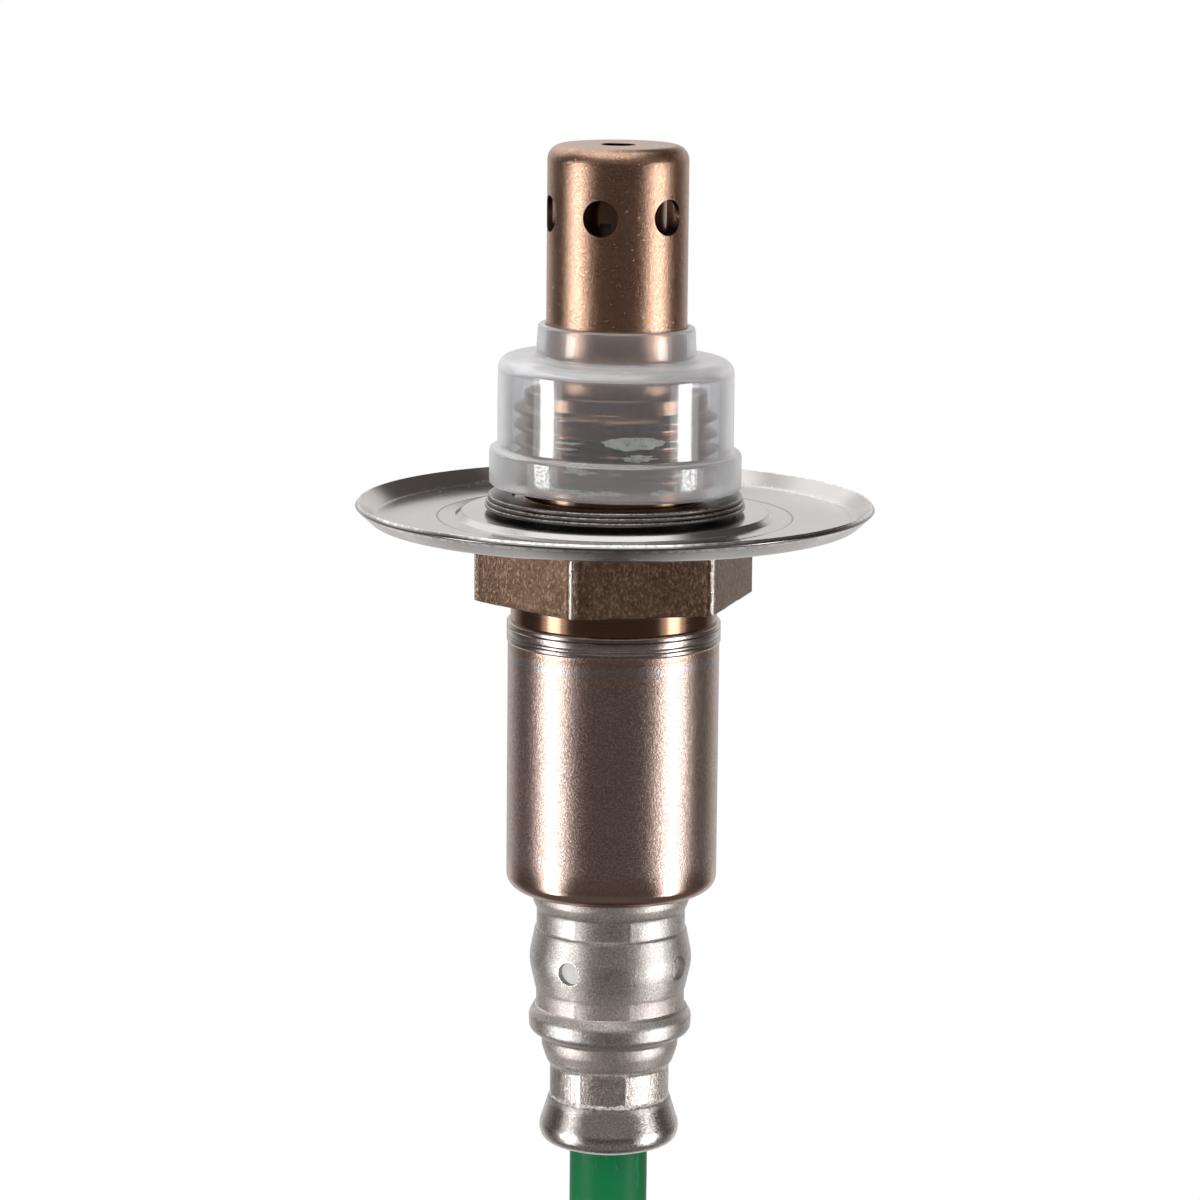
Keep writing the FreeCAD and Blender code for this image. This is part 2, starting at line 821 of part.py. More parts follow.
def make_vent_cover():
    jaw_cosine = as_size(22.5).cos()
    flat = crimp_flat_radius()
    corner = flat / jaw_cosine
    end_flat = end_crimp_flat_radius()
    end_corner = end_flat / jaw_cosine
    top_radius = size.ventTopDiameter / 2
    bulge = size.bulgeDiameter / 2
    bead = size.beadDiameter / 2
    sleeve = size.stepSleeveDiameter / 2
    flare = size.flareDiameter / 2
    wall = size.ventWall
    inside = flat - wall
    end_inside = end_flat - wall
    curl = size.ventLength - size.flareDrop
    levels = {
        "top_crimp": barrel_bottom - size.topCrimpDrop,
        "top_crimp_end": barrel_bottom - size.topCrimpDrop - size.topCrimpHeight,
        "middle_crimp": barrel_bottom - size.middleCrimpDrop,
        "middle_crimp_end": barrel_bottom - size.middleCrimpDrop - size.middleCrimpHeight,
        "bead": barrel_bottom - size.beadDrop,
        "bead_end": barrel_bottom - size.beadDrop - size.beadHeight,
        "sleeve": barrel_bottom - size.stepSleeveDrop,
        "sleeve_end": barrel_bottom - size.stepSleeveDrop - size.stepSleeveHeight,
        "end_crimp": barrel_bottom - size.endCrimpDrop,
        "end_crimp_end": barrel_bottom - size.endCrimpDrop - size.endCrimpHeight,
        "flare": barrel_bottom - size.flareDrop,
        "bottom": barrel_bottom - size.ventLength,
    }
    bulge_level = (levels["top_crimp_end"] + levels["middle_crimp"]) / 2
    outline = [
        (top_radius, barrel_bottom),
        (corner, levels["top_crimp"]),
        (corner, levels["top_crimp_end"]),
        (bulge, bulge_level),
        (corner, levels["middle_crimp"]),
        (corner, levels["middle_crimp_end"]),
        (bead, levels["bead"]),
        (bead, levels["bead_end"]),
        (sleeve, levels["sleeve"]),
        (sleeve, levels["sleeve_end"]),
        (end_corner, levels["end_crimp"]),
        (end_corner, levels["end_crimp_end"]),
        (flare, levels["flare"]),
        (flare - curl, levels["bottom"]),
        (size.ventMouthDiameter / 2, levels["bottom"]),
        (size.ventMouthDiameter / 2, levels["bottom"] + wall),
        (flare - curl, levels["bottom"] + wall),
        (flare - wall, levels["flare"]),
        (end_inside, levels["end_crimp_end"]),
        (end_inside, levels["end_crimp"]),
        (sleeve - wall, levels["sleeve_end"]),
        (sleeve - wall, levels["sleeve"]),
        (bead - wall, levels["bead_end"]),
        (bead - wall, levels["bead"]),
        (inside, levels["middle_crimp_end"]),
        (inside, levels["middle_crimp"]),
        (bulge - wall, bulge_level),
        (inside, levels["top_crimp_end"]),
        (inside, levels["top_crimp"]),
        (top_radius - wall, barrel_bottom),
    ]
    body = turned_part("vent_cover", outline, {12: (curl, -1), 16: (curl - wall, 1)})
    crimps = [
        ("top_crimp", flat, levels["top_crimp"], size.topCrimpHeight),
        ("middle_crimp", flat, levels["middle_crimp"], size.middleCrimpHeight),
        ("end_crimp", end_flat, levels["end_crimp"], size.endCrimpHeight),
    ]
    for name, flat_radius, top, height in crimps:
        jaws = attached_sketch(body, name + "_jaws", "XY_Plane", top)
        corner_angle = size.crimpTurn - 90 - size.ventHoleTurn
        draw_outline(jaws, polygon_points(8, flat_radius, corner_angle))
        draw_circle(jaws, 0, 0, flat_radius + 1.5)
        pocket(body, name + "_pressed", jaws, height)
    vent_holes(body, bulge)
    turn(body, size.ventHoleTurn)


def make_separator():
    body_radius = size.separatorDiameter / 2
    flange_radius = barrel_bore_radius - size.ringClearance
    corner = size.barrelBottomRadius
    pocket_radius = heater_radius + size.ringClearance
    pocket_floor = heater_end - size.heaterTailGap
    body = turned_part("separator", [
        (pocket_radius, separator_top),
        (body_radius, separator_top),
        (body_radius, separator_flange_top),
        (flange_radius, separator_flange_top),
        (flange_radius, separator_bottom + corner),
        (flange_radius - corner, separator_bottom),
        (0, separator_bottom),
        (0, pocket_floor),
        (pocket_radius, pocket_floor),
    ])
    hole = attached_sketch(body, "terminal_hole", "XY_Plane", separator_top)
    hole_offset = terminal_circle_radius * as_size(45).cos()
    draw_circle(hole, hole_offset, hole_offset, size.terminalHoleDiameter / 2)
    cut = pocket(body, "terminal_hole_cut", hole, separator_top - separator_bottom)
    around(body, "terminal_holes", cut, 4)


def make_separator_spring():
    inner = stem_radius + size.ringClearance
    outer = barrel_radius - size.barrelBottomRadius
    sheet = size.springThickness
    turned_part("separator_spring", [
        (inner, separator_bottom),
        (outer, barrel_floor + sheet),
        (outer, barrel_floor),
        (inner, separator_bottom - sheet),
    ])


def make_grommet():
    stem_bore = stem_radius - size.stemWall - size.slipFit
    throat_bore = throat_radius - size.stemWall - size.slipFit
    body = turned_part("grommet", [
        (0, grommet_top),
        (stem_bore, grommet_top),
        (stem_bore, stem_bottom),
        (throat_bore, throat_top),
        (throat_bore, throat_bottom),
        (size.grommetFlangeDiameter / 2, throat_bottom),
        (size.grommetFlangeDiameter / 2, grommet_bottom),
        (0, grommet_bottom),
    ])
    hole = attached_sketch(body, "lead_hole", "XY_Plane", grommet_top)
    hole_offset = lead_circle_radius * as_size(45).cos()
    draw_circle(hole, hole_offset, hole_offset, lead_radius + size.slipFit)
    cut = pocket(body, "lead_hole_cut", hole, grommet_top - grommet_bottom)
    around(body, "lead_holes", cut, 4)


def bent_lead(name, outer, inner, levels, angle):
    # A lead in one radial plane: straight down, slanting inward, straight down again.
    body = new_body(name)
    spine = attached_sketch(body, name + "_line", "XZ_Plane")
    top, bend, second_bend, bottom = levels
    path = [(outer, top), (outer, bend), (inner, second_bend), (inner, bottom)]
    for start, end in zip(path, path[1:]):
        start_point = vector(start[0].value, start[1].value, 0)
        end_point = vector(end[0].value, end[1].value, 0)
        spine.addGeometry(Part.LineSegment(start_point, end_point), False)
    for index in range(len(path) - 2):
        spine.addConstraint(Sketcher.Constraint("Coincident", index, 2, index + 1, 1))
    for index, (x, y) in enumerate(path):
        edge, end = (index, 1) if index < len(path) - 1 else (index - 1, 2)
        constrain(spine, "DistanceX", (-1, 1, edge, end), x)
        constrain(spine, "DistanceY", (-1, 1, edge, end), y)
    section = attached_sketch(body, name + "_section", "XY_Plane", top)
    draw_circle(section, outer, 0, lead_radius)
    pipe = body.newObject("PartDesign::AdditivePipe", name + "_pipe")
    pipe.Profile = section
    pipe.Spine = (spine, ["Edge%d" % number for number in range(1, len(path))])
    pipe.Transition = "Right corner"
    turn(body, angle)
    return body


def make_lead_wires():
    fan_top = separator_bottom - size.slipFit
    fan_bottom = fan_top - size.leadFan
    for number in range(4):
        levels = (lead_top, fan_top, fan_bottom, grommet_bottom)
        bent_lead("lead_wire_%d" % (number + 1), terminal_circle_radius, lead_circle_radius,
                  levels, as_size(45 + 90 * number))


def ring_sector(name, inside, outside, bottom, height, span):
    # Part of a ring: from angle zero counter-clockwise through span.
    outer = doc.addObject("Part::Cylinder", name + "_outside")
    bind(outer, "Radius", outside)
    bind(outer, "Height", height)
    bind(outer, "Angle", span)
    bind(outer, "Placement.Base.z", bottom)
    inner = doc.addObject("Part::Cylinder", name + "_inside")
    bind(inner, "Radius", inside)
    bind(inner, "Height", height)
    bind(inner, "Placement.Base.z", bottom)
    sector = doc.addObject("Part::Cut", name + "_clip")
    sector.Base = outer
    sector.Tool = inner
    bind(sector, "Placement.Rotation.Angle", as_size(0) - as_size(span) / 2)
    return sector


def block(name, x, y, z, length, width, height):
    # A box from x to x + length, centred on y, standing on z.
    box = doc.addObject("Part::Box", name)
    bind(box, "Length", length)
    bind(box, "Width", width)
    bind(box, "Height", height)
    bind(box, "Placement.Base.x", x)
    bind(box, "Placement.Base.y", as_size(y) - as_size(width) / 2)
    bind(box, "Placement.Base.z", z)
    return box


def terminal(name, clip_radius, clip_bottom, clip_height, span, angle):
    # A sheet contact: clip, arm to the terminal circle under the clip, leg down to the lead's end.
    sheet = size.terminalThickness
    clip = ring_sector(name, clip_radius, clip_radius + sheet, clip_bottom, clip_height, span)
    leg_outside = terminal_circle_radius + sheet / 2
    leg_bottom = lead_top
    arm_inside, arm_outside = clip_radius, leg_outside
    if clip_radius.value > leg_outside.value:
        arm_inside, arm_outside = leg_outside - sheet, clip_radius + sheet
    arm = block(name + "_arm", arm_inside, 0, clip_bottom,
                arm_outside - arm_inside, size.terminalWidth, sheet)
    leg = block(name + "_leg", leg_outside - sheet, 0, leg_bottom,
                sheet, size.terminalWidth, clip_bottom + sheet - leg_bottom)
    joined = doc.addObject("Part::MultiFuse", name + "_joined")
    joined.Shapes = [clip, arm, leg]
    bind(joined, "Placement.Rotation.Angle", angle)
    keep(joined, name)


def make_terminals():
    clip_bottom = element_end - size.terminalThickness * 2
    terminal("outer_terminal", element_shank_radius + size.slipFit, clip_bottom,
             size.clipHeight, size.clipSpan, as_size(45))
    inner_sheet_radius = size.elementBoreDiameter / 2 - size.slipFit - size.terminalThickness
    terminal("inner_terminal", inner_sheet_radius, clip_bottom,
             size.innerClipHeight, size.clipSpan, as_size(225))
    heater_clip_bottom = separator_top + size.slipFit
    for letter, angle in (("a", 135), ("b", 315)):
        terminal("heater_terminal_" + letter, heater_radius + size.slipFit, heater_clip_bottom,
                 size.heaterClipHeight, size.heaterClipSpan, as_size(angle))


def make_cord():
    # The stretch from the grommet to the hank hangs in one straight run.
    route = [(as_size(0), as_size(0), cord_top), (as_size(0), as_size(0), hank_top)]
    straight_cord("cord", route)


def straight_cord(name, route):
    (x, y, top), (_, _, bottom) = route
    run = doc.addObject("Part::Cylinder", name + "_run")
    bind(run, "Radius", cord_radius)
    bind(run, "Height", top - bottom)
    bind(run, "Placement.Base.x", x)
    bind(run, "Placement.Base.y", y)
    bind(run, "Placement.Base.z", bottom)
    print(name, "is one straight run of", round((top - bottom).value, 2), "mm, no arcs")
    keep(run, name)


def make_hank():
    # The outer shape of the folded length: two loops and the bundle between them.
    radius = hank_outer_radius
    flat = cord_radius + size.hankSlack
    loop_cos = as_size(40).cos()
    loop_sin = as_size(40).sin()
    waist = size.hankWaist / 2
    tie_half = size.tieWidth / 2
    right = [
        (flat, hank_top),
        (radius * loop_cos, upper_loop_level - radius * loop_sin),
        (waist, tie_level + tie_half),
        (waist, tie_level - tie_half),
        (radius * loop_cos, lower_loop_level + radius * loop_sin),
        (flat, hank_bottom),
    ]
    left = [(as_size(0) - x, level) for x, level in reversed(right)]
    body = new_body("cord_hank")
    outline = attached_sketch(body, "hank_outline", "XZ_Plane", size.hankFront)
    loops = {0: (radius, -1), 4: (radius, -1), 6: (radius, -1), 10: (radius, -1)}
    draw_outline(outline, right + left, loops)
    thick = pad(body, "hank_padded", outline, size.hankFront + size.hankBack)
    thick.Reversed = True


def make_hank_tie():
    waist = size.hankWaist / 2
    body = new_body("hank_tie")
    band = attached_sketch(body, "band", "XY_Plane", tie_level - size.tieWidth / 2)
    wide = size.tieThickness
    inside = [
        (as_size(0) - waist, as_size(0) - size.hankFront),
        (waist, as_size(0) - size.hankFront),
        (waist, size.hankBack),
        (as_size(0) - waist, size.hankBack),
    ]
    outside = [
        (as_size(0) - waist - wide, as_size(0) - size.hankFront - wide),
        (waist + wide, as_size(0) - size.hankFront - wide),
        (waist + wide, size.hankBack + wide),
        (as_size(0) - waist - wide, size.hankBack + wide),
    ]
    draw_outline(band, outside)
    draw_outline(band, inside)
    pad(body, "band_padded", band, size.tieWidth)


def make_cord_tail():
    end = connector_top - size.bootCapLength
    straight_cord("cord_tail", [(as_size(0), size.tailOffset, hank_bottom),
                                (as_size(0), size.tailOffset, end)])


def place_on_cord(thing):
    bind(thing, "Placement.Base.y", size.tailOffset)
    bind(thing, "Placement.Base.z", connector_top)


# The connector is drawn from its boot's top, downward, then placed on the cord's tail.
boot_bottom = -size.bootLength
rear_neck_top = boot_bottom + size.rearNeckLength
rear_bottom = boot_bottom - size.rearLength
shroud_bottom = rear_bottom - size.shroudLength
mouth_floor = shroud_bottom + size.shroudMouthDepth
seal_bottom = rear_neck_top - size.sealLength
lock_top = boot_bottom - size.lockDrop


def make_connector_boot():
    top_radius = size.bootTopDiameter / 2
    radius = size.bootDiameter / 2
    bore = cord_radius + size.slipFit
    cap_bottom = -size.bootCapLength
    neck_radius = size.rearNeckDiameter / 2 + size.slipFit
    body = turned_part("connector_boot", [
        (bore, 0),
        (top_radius, 0),
        (radius, cap_bottom - size.bootWall),
        (radius, boot_bottom),
        (neck_radius, boot_bottom),
        (neck_radius, cap_bottom - size.bootWall),
        (bore, cap_bottom - size.bootWall),
    ])
    pitch = size.bootCapLength / (SIZES["bootGrooveCount"] + 1)
    slope = (radius - top_radius) / (size.bootCapLength + size.bootWall)
    for index in range(SIZES["bootGrooveCount"]):
        middle = as_size(0) - pitch * (index + 1)
        surface = top_radius - middle * slope
        half = pitch / 4
        revolve(body, "boot_groove_%d" % (index + 1), [
            (surface - size.bootGrooveDepth, middle + half),
            (surface + 1, middle + half),
            (surface + 1, middle - half),
            (surface - size.bootGrooveDepth, middle - half),
        ], cut=True)
    place_on_cord(body)


def grid_points():
    half = size.terminalPitch / 2
    return [(sx * half, sy * half) for sx in (-1, 1) for sy in (-1, 1)]


def make_connector_housing():
    body = new_body("connector_housing")
    rear = attached_sketch(body, "rear", "XY_Plane", rear_bottom)
    draw_outline(rear, rectangle(as_size(0), as_size(0), size.rearWidth, size.rearDepth))
    pad(body, "rear_moulded", rear, size.rearLength)
    neck = attached_sketch(body, "rear_neck", "XY_Plane", boot_bottom)
    draw_circle(neck, 0, 0, size.rearNeckDiameter / 2)
    pad(body, "rear_neck_moulded", neck, size.rearNeckLength)
    shroud = attached_sketch(body, "shroud", "XY_Plane", shroud_bottom)
    draw_outline(shroud, rectangle(as_size(0), as_size(0), size.shroudWidth, size.shroudDepth))
    pad(body, "shroud_moulded", shroud, size.shroudLength)
    half_diagonal = math.hypot(size.shroudWidth.value / 2, size.shroudDepth.value / 2)
    round_uprights(body, "shroud_corners", half_diagonal - 0.01, size.shroudCornerRadius)
    mouth = attached_sketch(body, "mouth", "XY_Plane", shroud_bottom)
    mouth_width = size.shroudWidth - size.shroudWall * 2
    mouth_depth = size.shroudDepth - size.shroudWall * 2
    draw_outline(mouth, rectangle(as_size(0), as_size(0), mouth_width, mouth_depth))
    pocket(body, "mouth_cored", mouth, size.shroudMouthDepth, upward=True)
    latch = attached_sketch(body, "latch", "YZ_Plane", as_size(0) - size.latchWidth / 2)
    face = as_size(0) - size.shroudDepth / 2
    latch_top = shroud_bottom + size.latchLength * 2
    draw_outline(latch, [
        (face + 0.5, latch_top),
        (face - size.latchRise, latch_top),
        (face - size.latchRise, latch_top - size.latchLength / 2),
        (face, latch_top - size.latchLength),
        (face + 0.5, latch_top - size.latchLength),
    ])
    pad(body, "latch_moulded", latch, size.latchWidth)
    seats = attached_sketch(body, "seal_seats", "XY_Plane", rear_neck_top)
    ways = attached_sketch(body, "terminal_ways", "XY_Plane", mouth_floor)
    for x, y in grid_points():
        draw_circle(seats, x, y, size.sealDiameter / 2 + size.slipFit)
        draw_circle(ways, x, y, size.cavityDiameter / 2)
    pocket(body, "seal_seats_cored", seats, size.sealLength)
    pocket(body, "terminal_ways_cored", ways, seal_bottom - mouth_floor, upward=True)
    slot = attached_sketch(body, "lock_slot", "XY_Plane", lock_top)
    slot_width = size.rearWidth - size.lockInset * 2 + size.slipFit * 2
    slot_depth = size.rearDepth - size.lockInset + size.slipFit
    slot_middle = size.lockInset / 2 + size.slipFit / 2
    draw_outline(slot, rectangle(as_size(0), slot_middle, slot_width, slot_depth))
    pocket(body, "lock_slot_cored", slot, size.lockThickness + size.slipFit * 2)
    place_on_cord(body)


def make_connector_lock():
    body = new_body("connector_lock")
    plate = attached_sketch(body, "plate", "XY_Plane", lock_top - size.slipFit - size.lockThickness)
    width = size.rearWidth - size.lockInset * 2
    depth = size.rearDepth - size.lockInset
    draw_outline(plate, rectangle(as_size(0), size.lockInset / 2, width, depth))
    for x, y in grid_points():
        draw_circle(plate, x, y, size.cavityDiameter / 2)
    pad(body, "plate_moulded", plate, size.lockThickness)
    place_on_cord(body)


def joined_group(name, members):
    # Identical loose pieces kept together in one node.
    group = doc.addObject("Part::Compound", name + "_group")
    group.Links = members
    place_on_cord(group)
    keep(group, name)


def make_connector_pins():
    pins = []
    for number, (x, y) in enumerate(grid_points(), start=1):
        name = "pin_%d" % number
        tab_bottom = mouth_floor - size.tabReach
        tab = doc.addObject("Part::Box", name + "_tab")
        barrel = doc.addObject("Part::Cylinder", name + "_barrel")
        bind(tab, "Length", size.tabWidth)
        bind(tab, "Width", size.tabThickness)
        bind(tab, "Height", size.tabReach + size.lockThickness)
        bind(tab, "Placement.Base.x", x - size.tabWidth / 2)
        bind(tab, "Placement.Base.y", y - size.tabThickness / 2)
        bind(tab, "Placement.Base.z", tab_bottom)
        bind(barrel, "Radius", size.cavityDiameter / 2 - size.slipFit)
        bind(barrel, "Height", seal_bottom - mouth_floor)
        bind(barrel, "Placement.Base.x", x)
        bind(barrel, "Placement.Base.y", y)
        bind(barrel, "Placement.Base.z", mouth_floor)
        pin = doc.addObject("Part::Fuse", name)
        pin.Base = tab
        pin.Tool = barrel
        pins.append(pin)
    joined_group("connector_pins", pins)


def make_connector_seals():
    seals = []
    for number, (x, y) in enumerate(grid_points(), start=1):
        name = "seal_%d" % number
        plug = doc.addObject("Part::Cylinder", name + "_plug")
        bore = doc.addObject("Part::Cylinder", name + "_bore")
        for cylinder, radius in ((plug, size.sealDiameter / 2), (bore, lead_radius + size.slipFit)):
            bind(cylinder, "Radius", radius)
            bind(cylinder, "Height", size.sealLength)
            bind(cylinder, "Placement.Base.x", x)
            bind(cylinder, "Placement.Base.y", y)
            bind(cylinder, "Placement.Base.z", seal_bottom)
        seal = doc.addObject("Part::Cut", name)
        seal.Base = plug
        seal.Tool = bore
        seals.append(seal)
    joined_group("connector_seals", seals)


def make_connector_leads():
    # Short leads from the cord's end through the seals to the pins.
    start = as_size(0) - size.bootCapLength
    outer = size.terminalPitch / 2 / as_size(45).cos()
    leads = []
    for number in range(4):
        levels = (start, start - size.bootWall, rear_neck_top + size.slipFit * 4, seal_bottom)
        lead = bent_lead("connector_lead_%d" % (number + 1), lead_circle_radius, outer,
                         levels, as_size(45 + 90 * number))
        nodes.remove(lead)
        leads.append(lead)
    joined_group("connector_leads", leads)


def write_parts():
    doc.recompute()
    for thing in doc.Objects:
        if "Invalid" in thing.State or "Error" in thing.State:
            raise RuntimeError("feature failed: " + thing.Label)
    for node in nodes:
        if node.Shape.isNull() or not node.Shape.isValid():
            raise RuntimeError("bad shape: " + node.Label)
    os.makedirs("parts", exist_ok=True)
    for node in nodes:
        node.Shape.exportStep("parts/" + node.Label + ".step")
    print(len(nodes), "nodes written")


make_housing()
make_gasket()
make_heat_shield()
make_sensing_element()
make_seals()
make_heater_rod()
make_inner_protector()
make_outer_protector()
make_protective_cap()
make_barrel_cover()
make_vent_filter()
make_vent_cover()
make_separator()
make_separator_spring()
make_grommet()
make_lead_wires()
make_terminals()
make_cord()
make_hank()
make_hank_tie()
make_cord_tail()
make_connector_boot()
make_connector_housing()
make_connector_lock()
make_connector_pins()
make_connector_seals()
make_connector_leads()
write_parts()
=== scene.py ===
import math
from contextlib import contextmanager

import bpy
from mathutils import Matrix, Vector, noise


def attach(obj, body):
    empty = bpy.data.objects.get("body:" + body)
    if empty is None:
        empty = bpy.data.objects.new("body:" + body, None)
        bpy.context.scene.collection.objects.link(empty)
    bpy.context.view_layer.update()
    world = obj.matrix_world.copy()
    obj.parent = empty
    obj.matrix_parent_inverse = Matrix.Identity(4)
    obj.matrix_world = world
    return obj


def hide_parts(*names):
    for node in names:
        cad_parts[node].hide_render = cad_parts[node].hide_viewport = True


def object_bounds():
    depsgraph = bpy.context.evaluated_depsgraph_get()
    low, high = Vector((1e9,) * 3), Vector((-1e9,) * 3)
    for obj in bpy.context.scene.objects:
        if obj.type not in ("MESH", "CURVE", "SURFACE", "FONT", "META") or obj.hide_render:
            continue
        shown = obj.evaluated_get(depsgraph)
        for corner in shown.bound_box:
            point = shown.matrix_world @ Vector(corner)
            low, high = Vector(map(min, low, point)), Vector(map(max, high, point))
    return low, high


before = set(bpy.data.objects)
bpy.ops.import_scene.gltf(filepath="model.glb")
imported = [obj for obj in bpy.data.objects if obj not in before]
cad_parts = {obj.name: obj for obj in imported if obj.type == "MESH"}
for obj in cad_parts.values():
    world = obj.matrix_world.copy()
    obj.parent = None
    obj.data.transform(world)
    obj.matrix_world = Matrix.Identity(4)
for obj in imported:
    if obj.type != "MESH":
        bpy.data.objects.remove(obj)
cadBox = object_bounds()  # the solids' own box, which sets the floor's level

# Lengths are in millimetres unless a name says otherwise; mm turns them into metres.
# Turns are degrees about Z, counted from the front (-Y) toward +X.
mm = 0.001
weldDistance = 0.002
holeSides = 48
drillLength = 4.0


# Small helpers for meshes

def deselectAll():
    if bpy.context.object and bpy.context.object.mode != "OBJECT":
        bpy.ops.object.mode_set(mode="OBJECT")
    bpy.ops.object.select_all(action="DESELECT")


def pick(piece):
    deselectAll()
    piece.select_set(True)
    bpy.context.view_layer.objects.active = piece


def applyPlace(piece):
    pick(piece)
    bpy.ops.object.transform_apply(location=True, rotation=True, scale=True)


def applyModifiers(piece):
    pick(piece)
    for modifier in list(piece.modifiers):
        bpy.ops.object.modifier_apply(modifier=modifier.name)


@contextmanager
def editing(piece):
    # Edit mode with everything selected, and back to object mode at the end.
    pick(piece)
    bpy.ops.object.mode_set(mode="EDIT")
    bpy.ops.mesh.select_all(action="SELECT")
    yield
    bpy.ops.object.mode_set(mode="OBJECT")


def cleanFaces(piece, outward=True):
    with editing(piece):
        bpy.ops.mesh.remove_doubles(threshold=weldDistance * mm)
        if outward:
            bpy.ops.mesh.normals_make_consistent(inside=False)


def thicken(piece, wall, offset=-1):
    modifier = piece.modifiers.new("wall", "SOLIDIFY")
    modifier.thickness = wall * mm
    modifier.offset = offset
    applyModifiers(piece)


def roundEdges(piece, width):
    modifier = piece.modifiers.new("edge", "BEVEL")
    modifier.width = width * mm
    modifier.segments = 3
    modifier.limit_method = "ANGLE"
    modifier.angle_limit = math.radians(50)
    applyModifiers(piece)


def smooth(piece, angle=30):
    pick(piece)
    bpy.ops.object.shade_smooth_by_angle(angle=math.radians(angle))


def pointAt(radius, turnDegrees, level):
    turn = math.radians(turnDegrees)
    return Vector((radius * math.sin(turn), -radius * math.cos(turn), level))


def turnOf(point):
    return math.degrees(math.atan2(point.x, -point.y))


def widen(vertex, share):
    # Moves a vertex away from the axis, or toward it.
    vertex.co.x *= share
    vertex.co.y *= share


def roundedOutline(corners, arcSteps):
    # Each corner is (radius, level) or (radius, level, fillet), and fillets become true arcs.
    points = []
    for index, corner in enumerate(corners):
        here = Vector(corner[:2])
        if len(corner) == 2:
            points.append(here)
            continue
        before = (Vector(corners[index - 1][:2]) - here).normalized()
        after = (Vector(corners[(index + 1) % len(corners)][:2]) - here).normalized()
        half = before.angle(after) / 2
        cut = corner[2] / math.tan(half)
        centre = here + (before + after).normalized() * (corner[2] / math.sin(half))
        first = here + before * cut - centre
        last = here + after * cut - centre
        sweep = first.angle_signed(last)
        for step in range(arcSteps + 1):
            turn = -sweep * step / arcSteps
            points.append(centre + Vector((
                first.x * math.cos(turn) - first.y * math.sin(turn),
                first.x * math.sin(turn) + first.y * math.cos(turn),
            )))
    return points


def divided(points, longest):
    # Straight stretches longer than this get more rings.
    if not longest:
        return points
    result = []
    for index, point in enumerate(points):
        after = points[(index + 1) % len(points)]
        parts = max(1, math.ceil((after - point).length / longest))
        result += [point.lerp(after, part / parts) for part in range(parts)]
    return result


def turned(name, corners, segments=160, arcSteps=5, longest=None):
    # A closed outline in the plane of the axis, spun once round it, as on a lathe.
    outline = divided(roundedOutline(corners, arcSteps), longest)
    deselectAll()
    bpy.ops.mesh.primitive_circle_add(vertices=len(outline), radius=1)
    piece = bpy.context.object
    piece.name = piece.data.name = name
    for vertex, point in zip(piece.data.vertices, outline):
        vertex.co = (point.x * mm, 0, point.y * mm)
    applyPlace(piece)
    with editing(piece):
        bpy.ops.mesh.spin(steps=segments, angle=math.tau, center=(0, 0, 0), axis=(0, 0, 1))
    cleanFaces(piece)
    smooth(piece)
    return piece


def block(size, centre, edge, segments):
    # A box with bevelled edges.
    deselectAll()
    bpy.ops.mesh.primitive_cube_add(size=1, location=centre * mm)
    piece = bpy.context.object
    piece.scale = Vector(size) * mm
    applyPlace(piece)
    with editing(piece):
        bpy.ops.mesh.bevel(offset=edge * mm, segments=segments, affect="EDGES")
    return piece


def combine(piece, other, operation):
    modifier = piece.modifiers.new("combine", "BOOLEAN")
    modifier.operation = operation
    modifier.solver = "EXACT"
    modifier.object = other
    applyModifiers(piece)
    bpy.data.objects.remove(other)
    return piece


def joined(pieces):
    pick(pieces[0])
    for piece in pieces:
        piece.select_set(True)
    bpy.ops.object.join()
    return bpy.context.object


def drillRing(piece, holes, reach):
    # Holes through one wall, evenly spaced round the axis.
    count = holes["holeCount"]
    cutters = []
    for index in range(count):
        turn = holes["holeTurn"] + 360 * index / count
        deselectAll()
        bpy.ops.mesh.primitive_cylinder_add(
            vertices=holeSides, radius=holes["holeRadius"] * mm, depth=drillLength * mm)
        cutter = bpy.context.object
        cutter.rotation_euler = pointAt(1, turn, 0).to_track_quat("Z", "Y").to_euler()
        cutter.location = pointAt(reach, turn, holes["holeLevel"]) * mm
        applyPlace(cutter)
        cutters.append(cutter)
    return combine(piece, joined(cutters), "DIFFERENCE")


def addPiece(piece, material, slot, *nodes):
    piece.data.materials.clear()
    piece.data.materials.append(material)
    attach(piece, "root")
    if nodes:
        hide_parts(*nodes)
    return piece


# Shader maths written as expressions

def operator(operation, reflected=False):
    def work(wire, other):
        first, second = (other, wire) if reflected else (wire, other)
        return wire.graph.node("Math", {"operation": operation}, {0: first, 1: second})
    return work


class Wire:
    # A shader socket that sums, differences and products can be written with.
    __add__ = operator("ADD")
    __radd__ = operator("ADD", reflected=True)
    __sub__ = operator("SUBTRACT")
    __rsub__ = operator("SUBTRACT", reflected=True)
    __mul__ = operator("MULTIPLY")
    __rmul__ = operator("MULTIPLY", reflected=True)
    __truediv__ = operator("DIVIDE")

    def __init__(self, graph, socket):
        self.graph = graph
        self.socket = socket

    def math(self, operation, *others, clamp=False):
        settings = {"operation": operation, "use_clamp": clamp}
        return self.graph.node("Math", settings, dict(enumerate((self, *others))))

    def clamped(self):
        return self.math("ADD", 0.0, clamp=True)


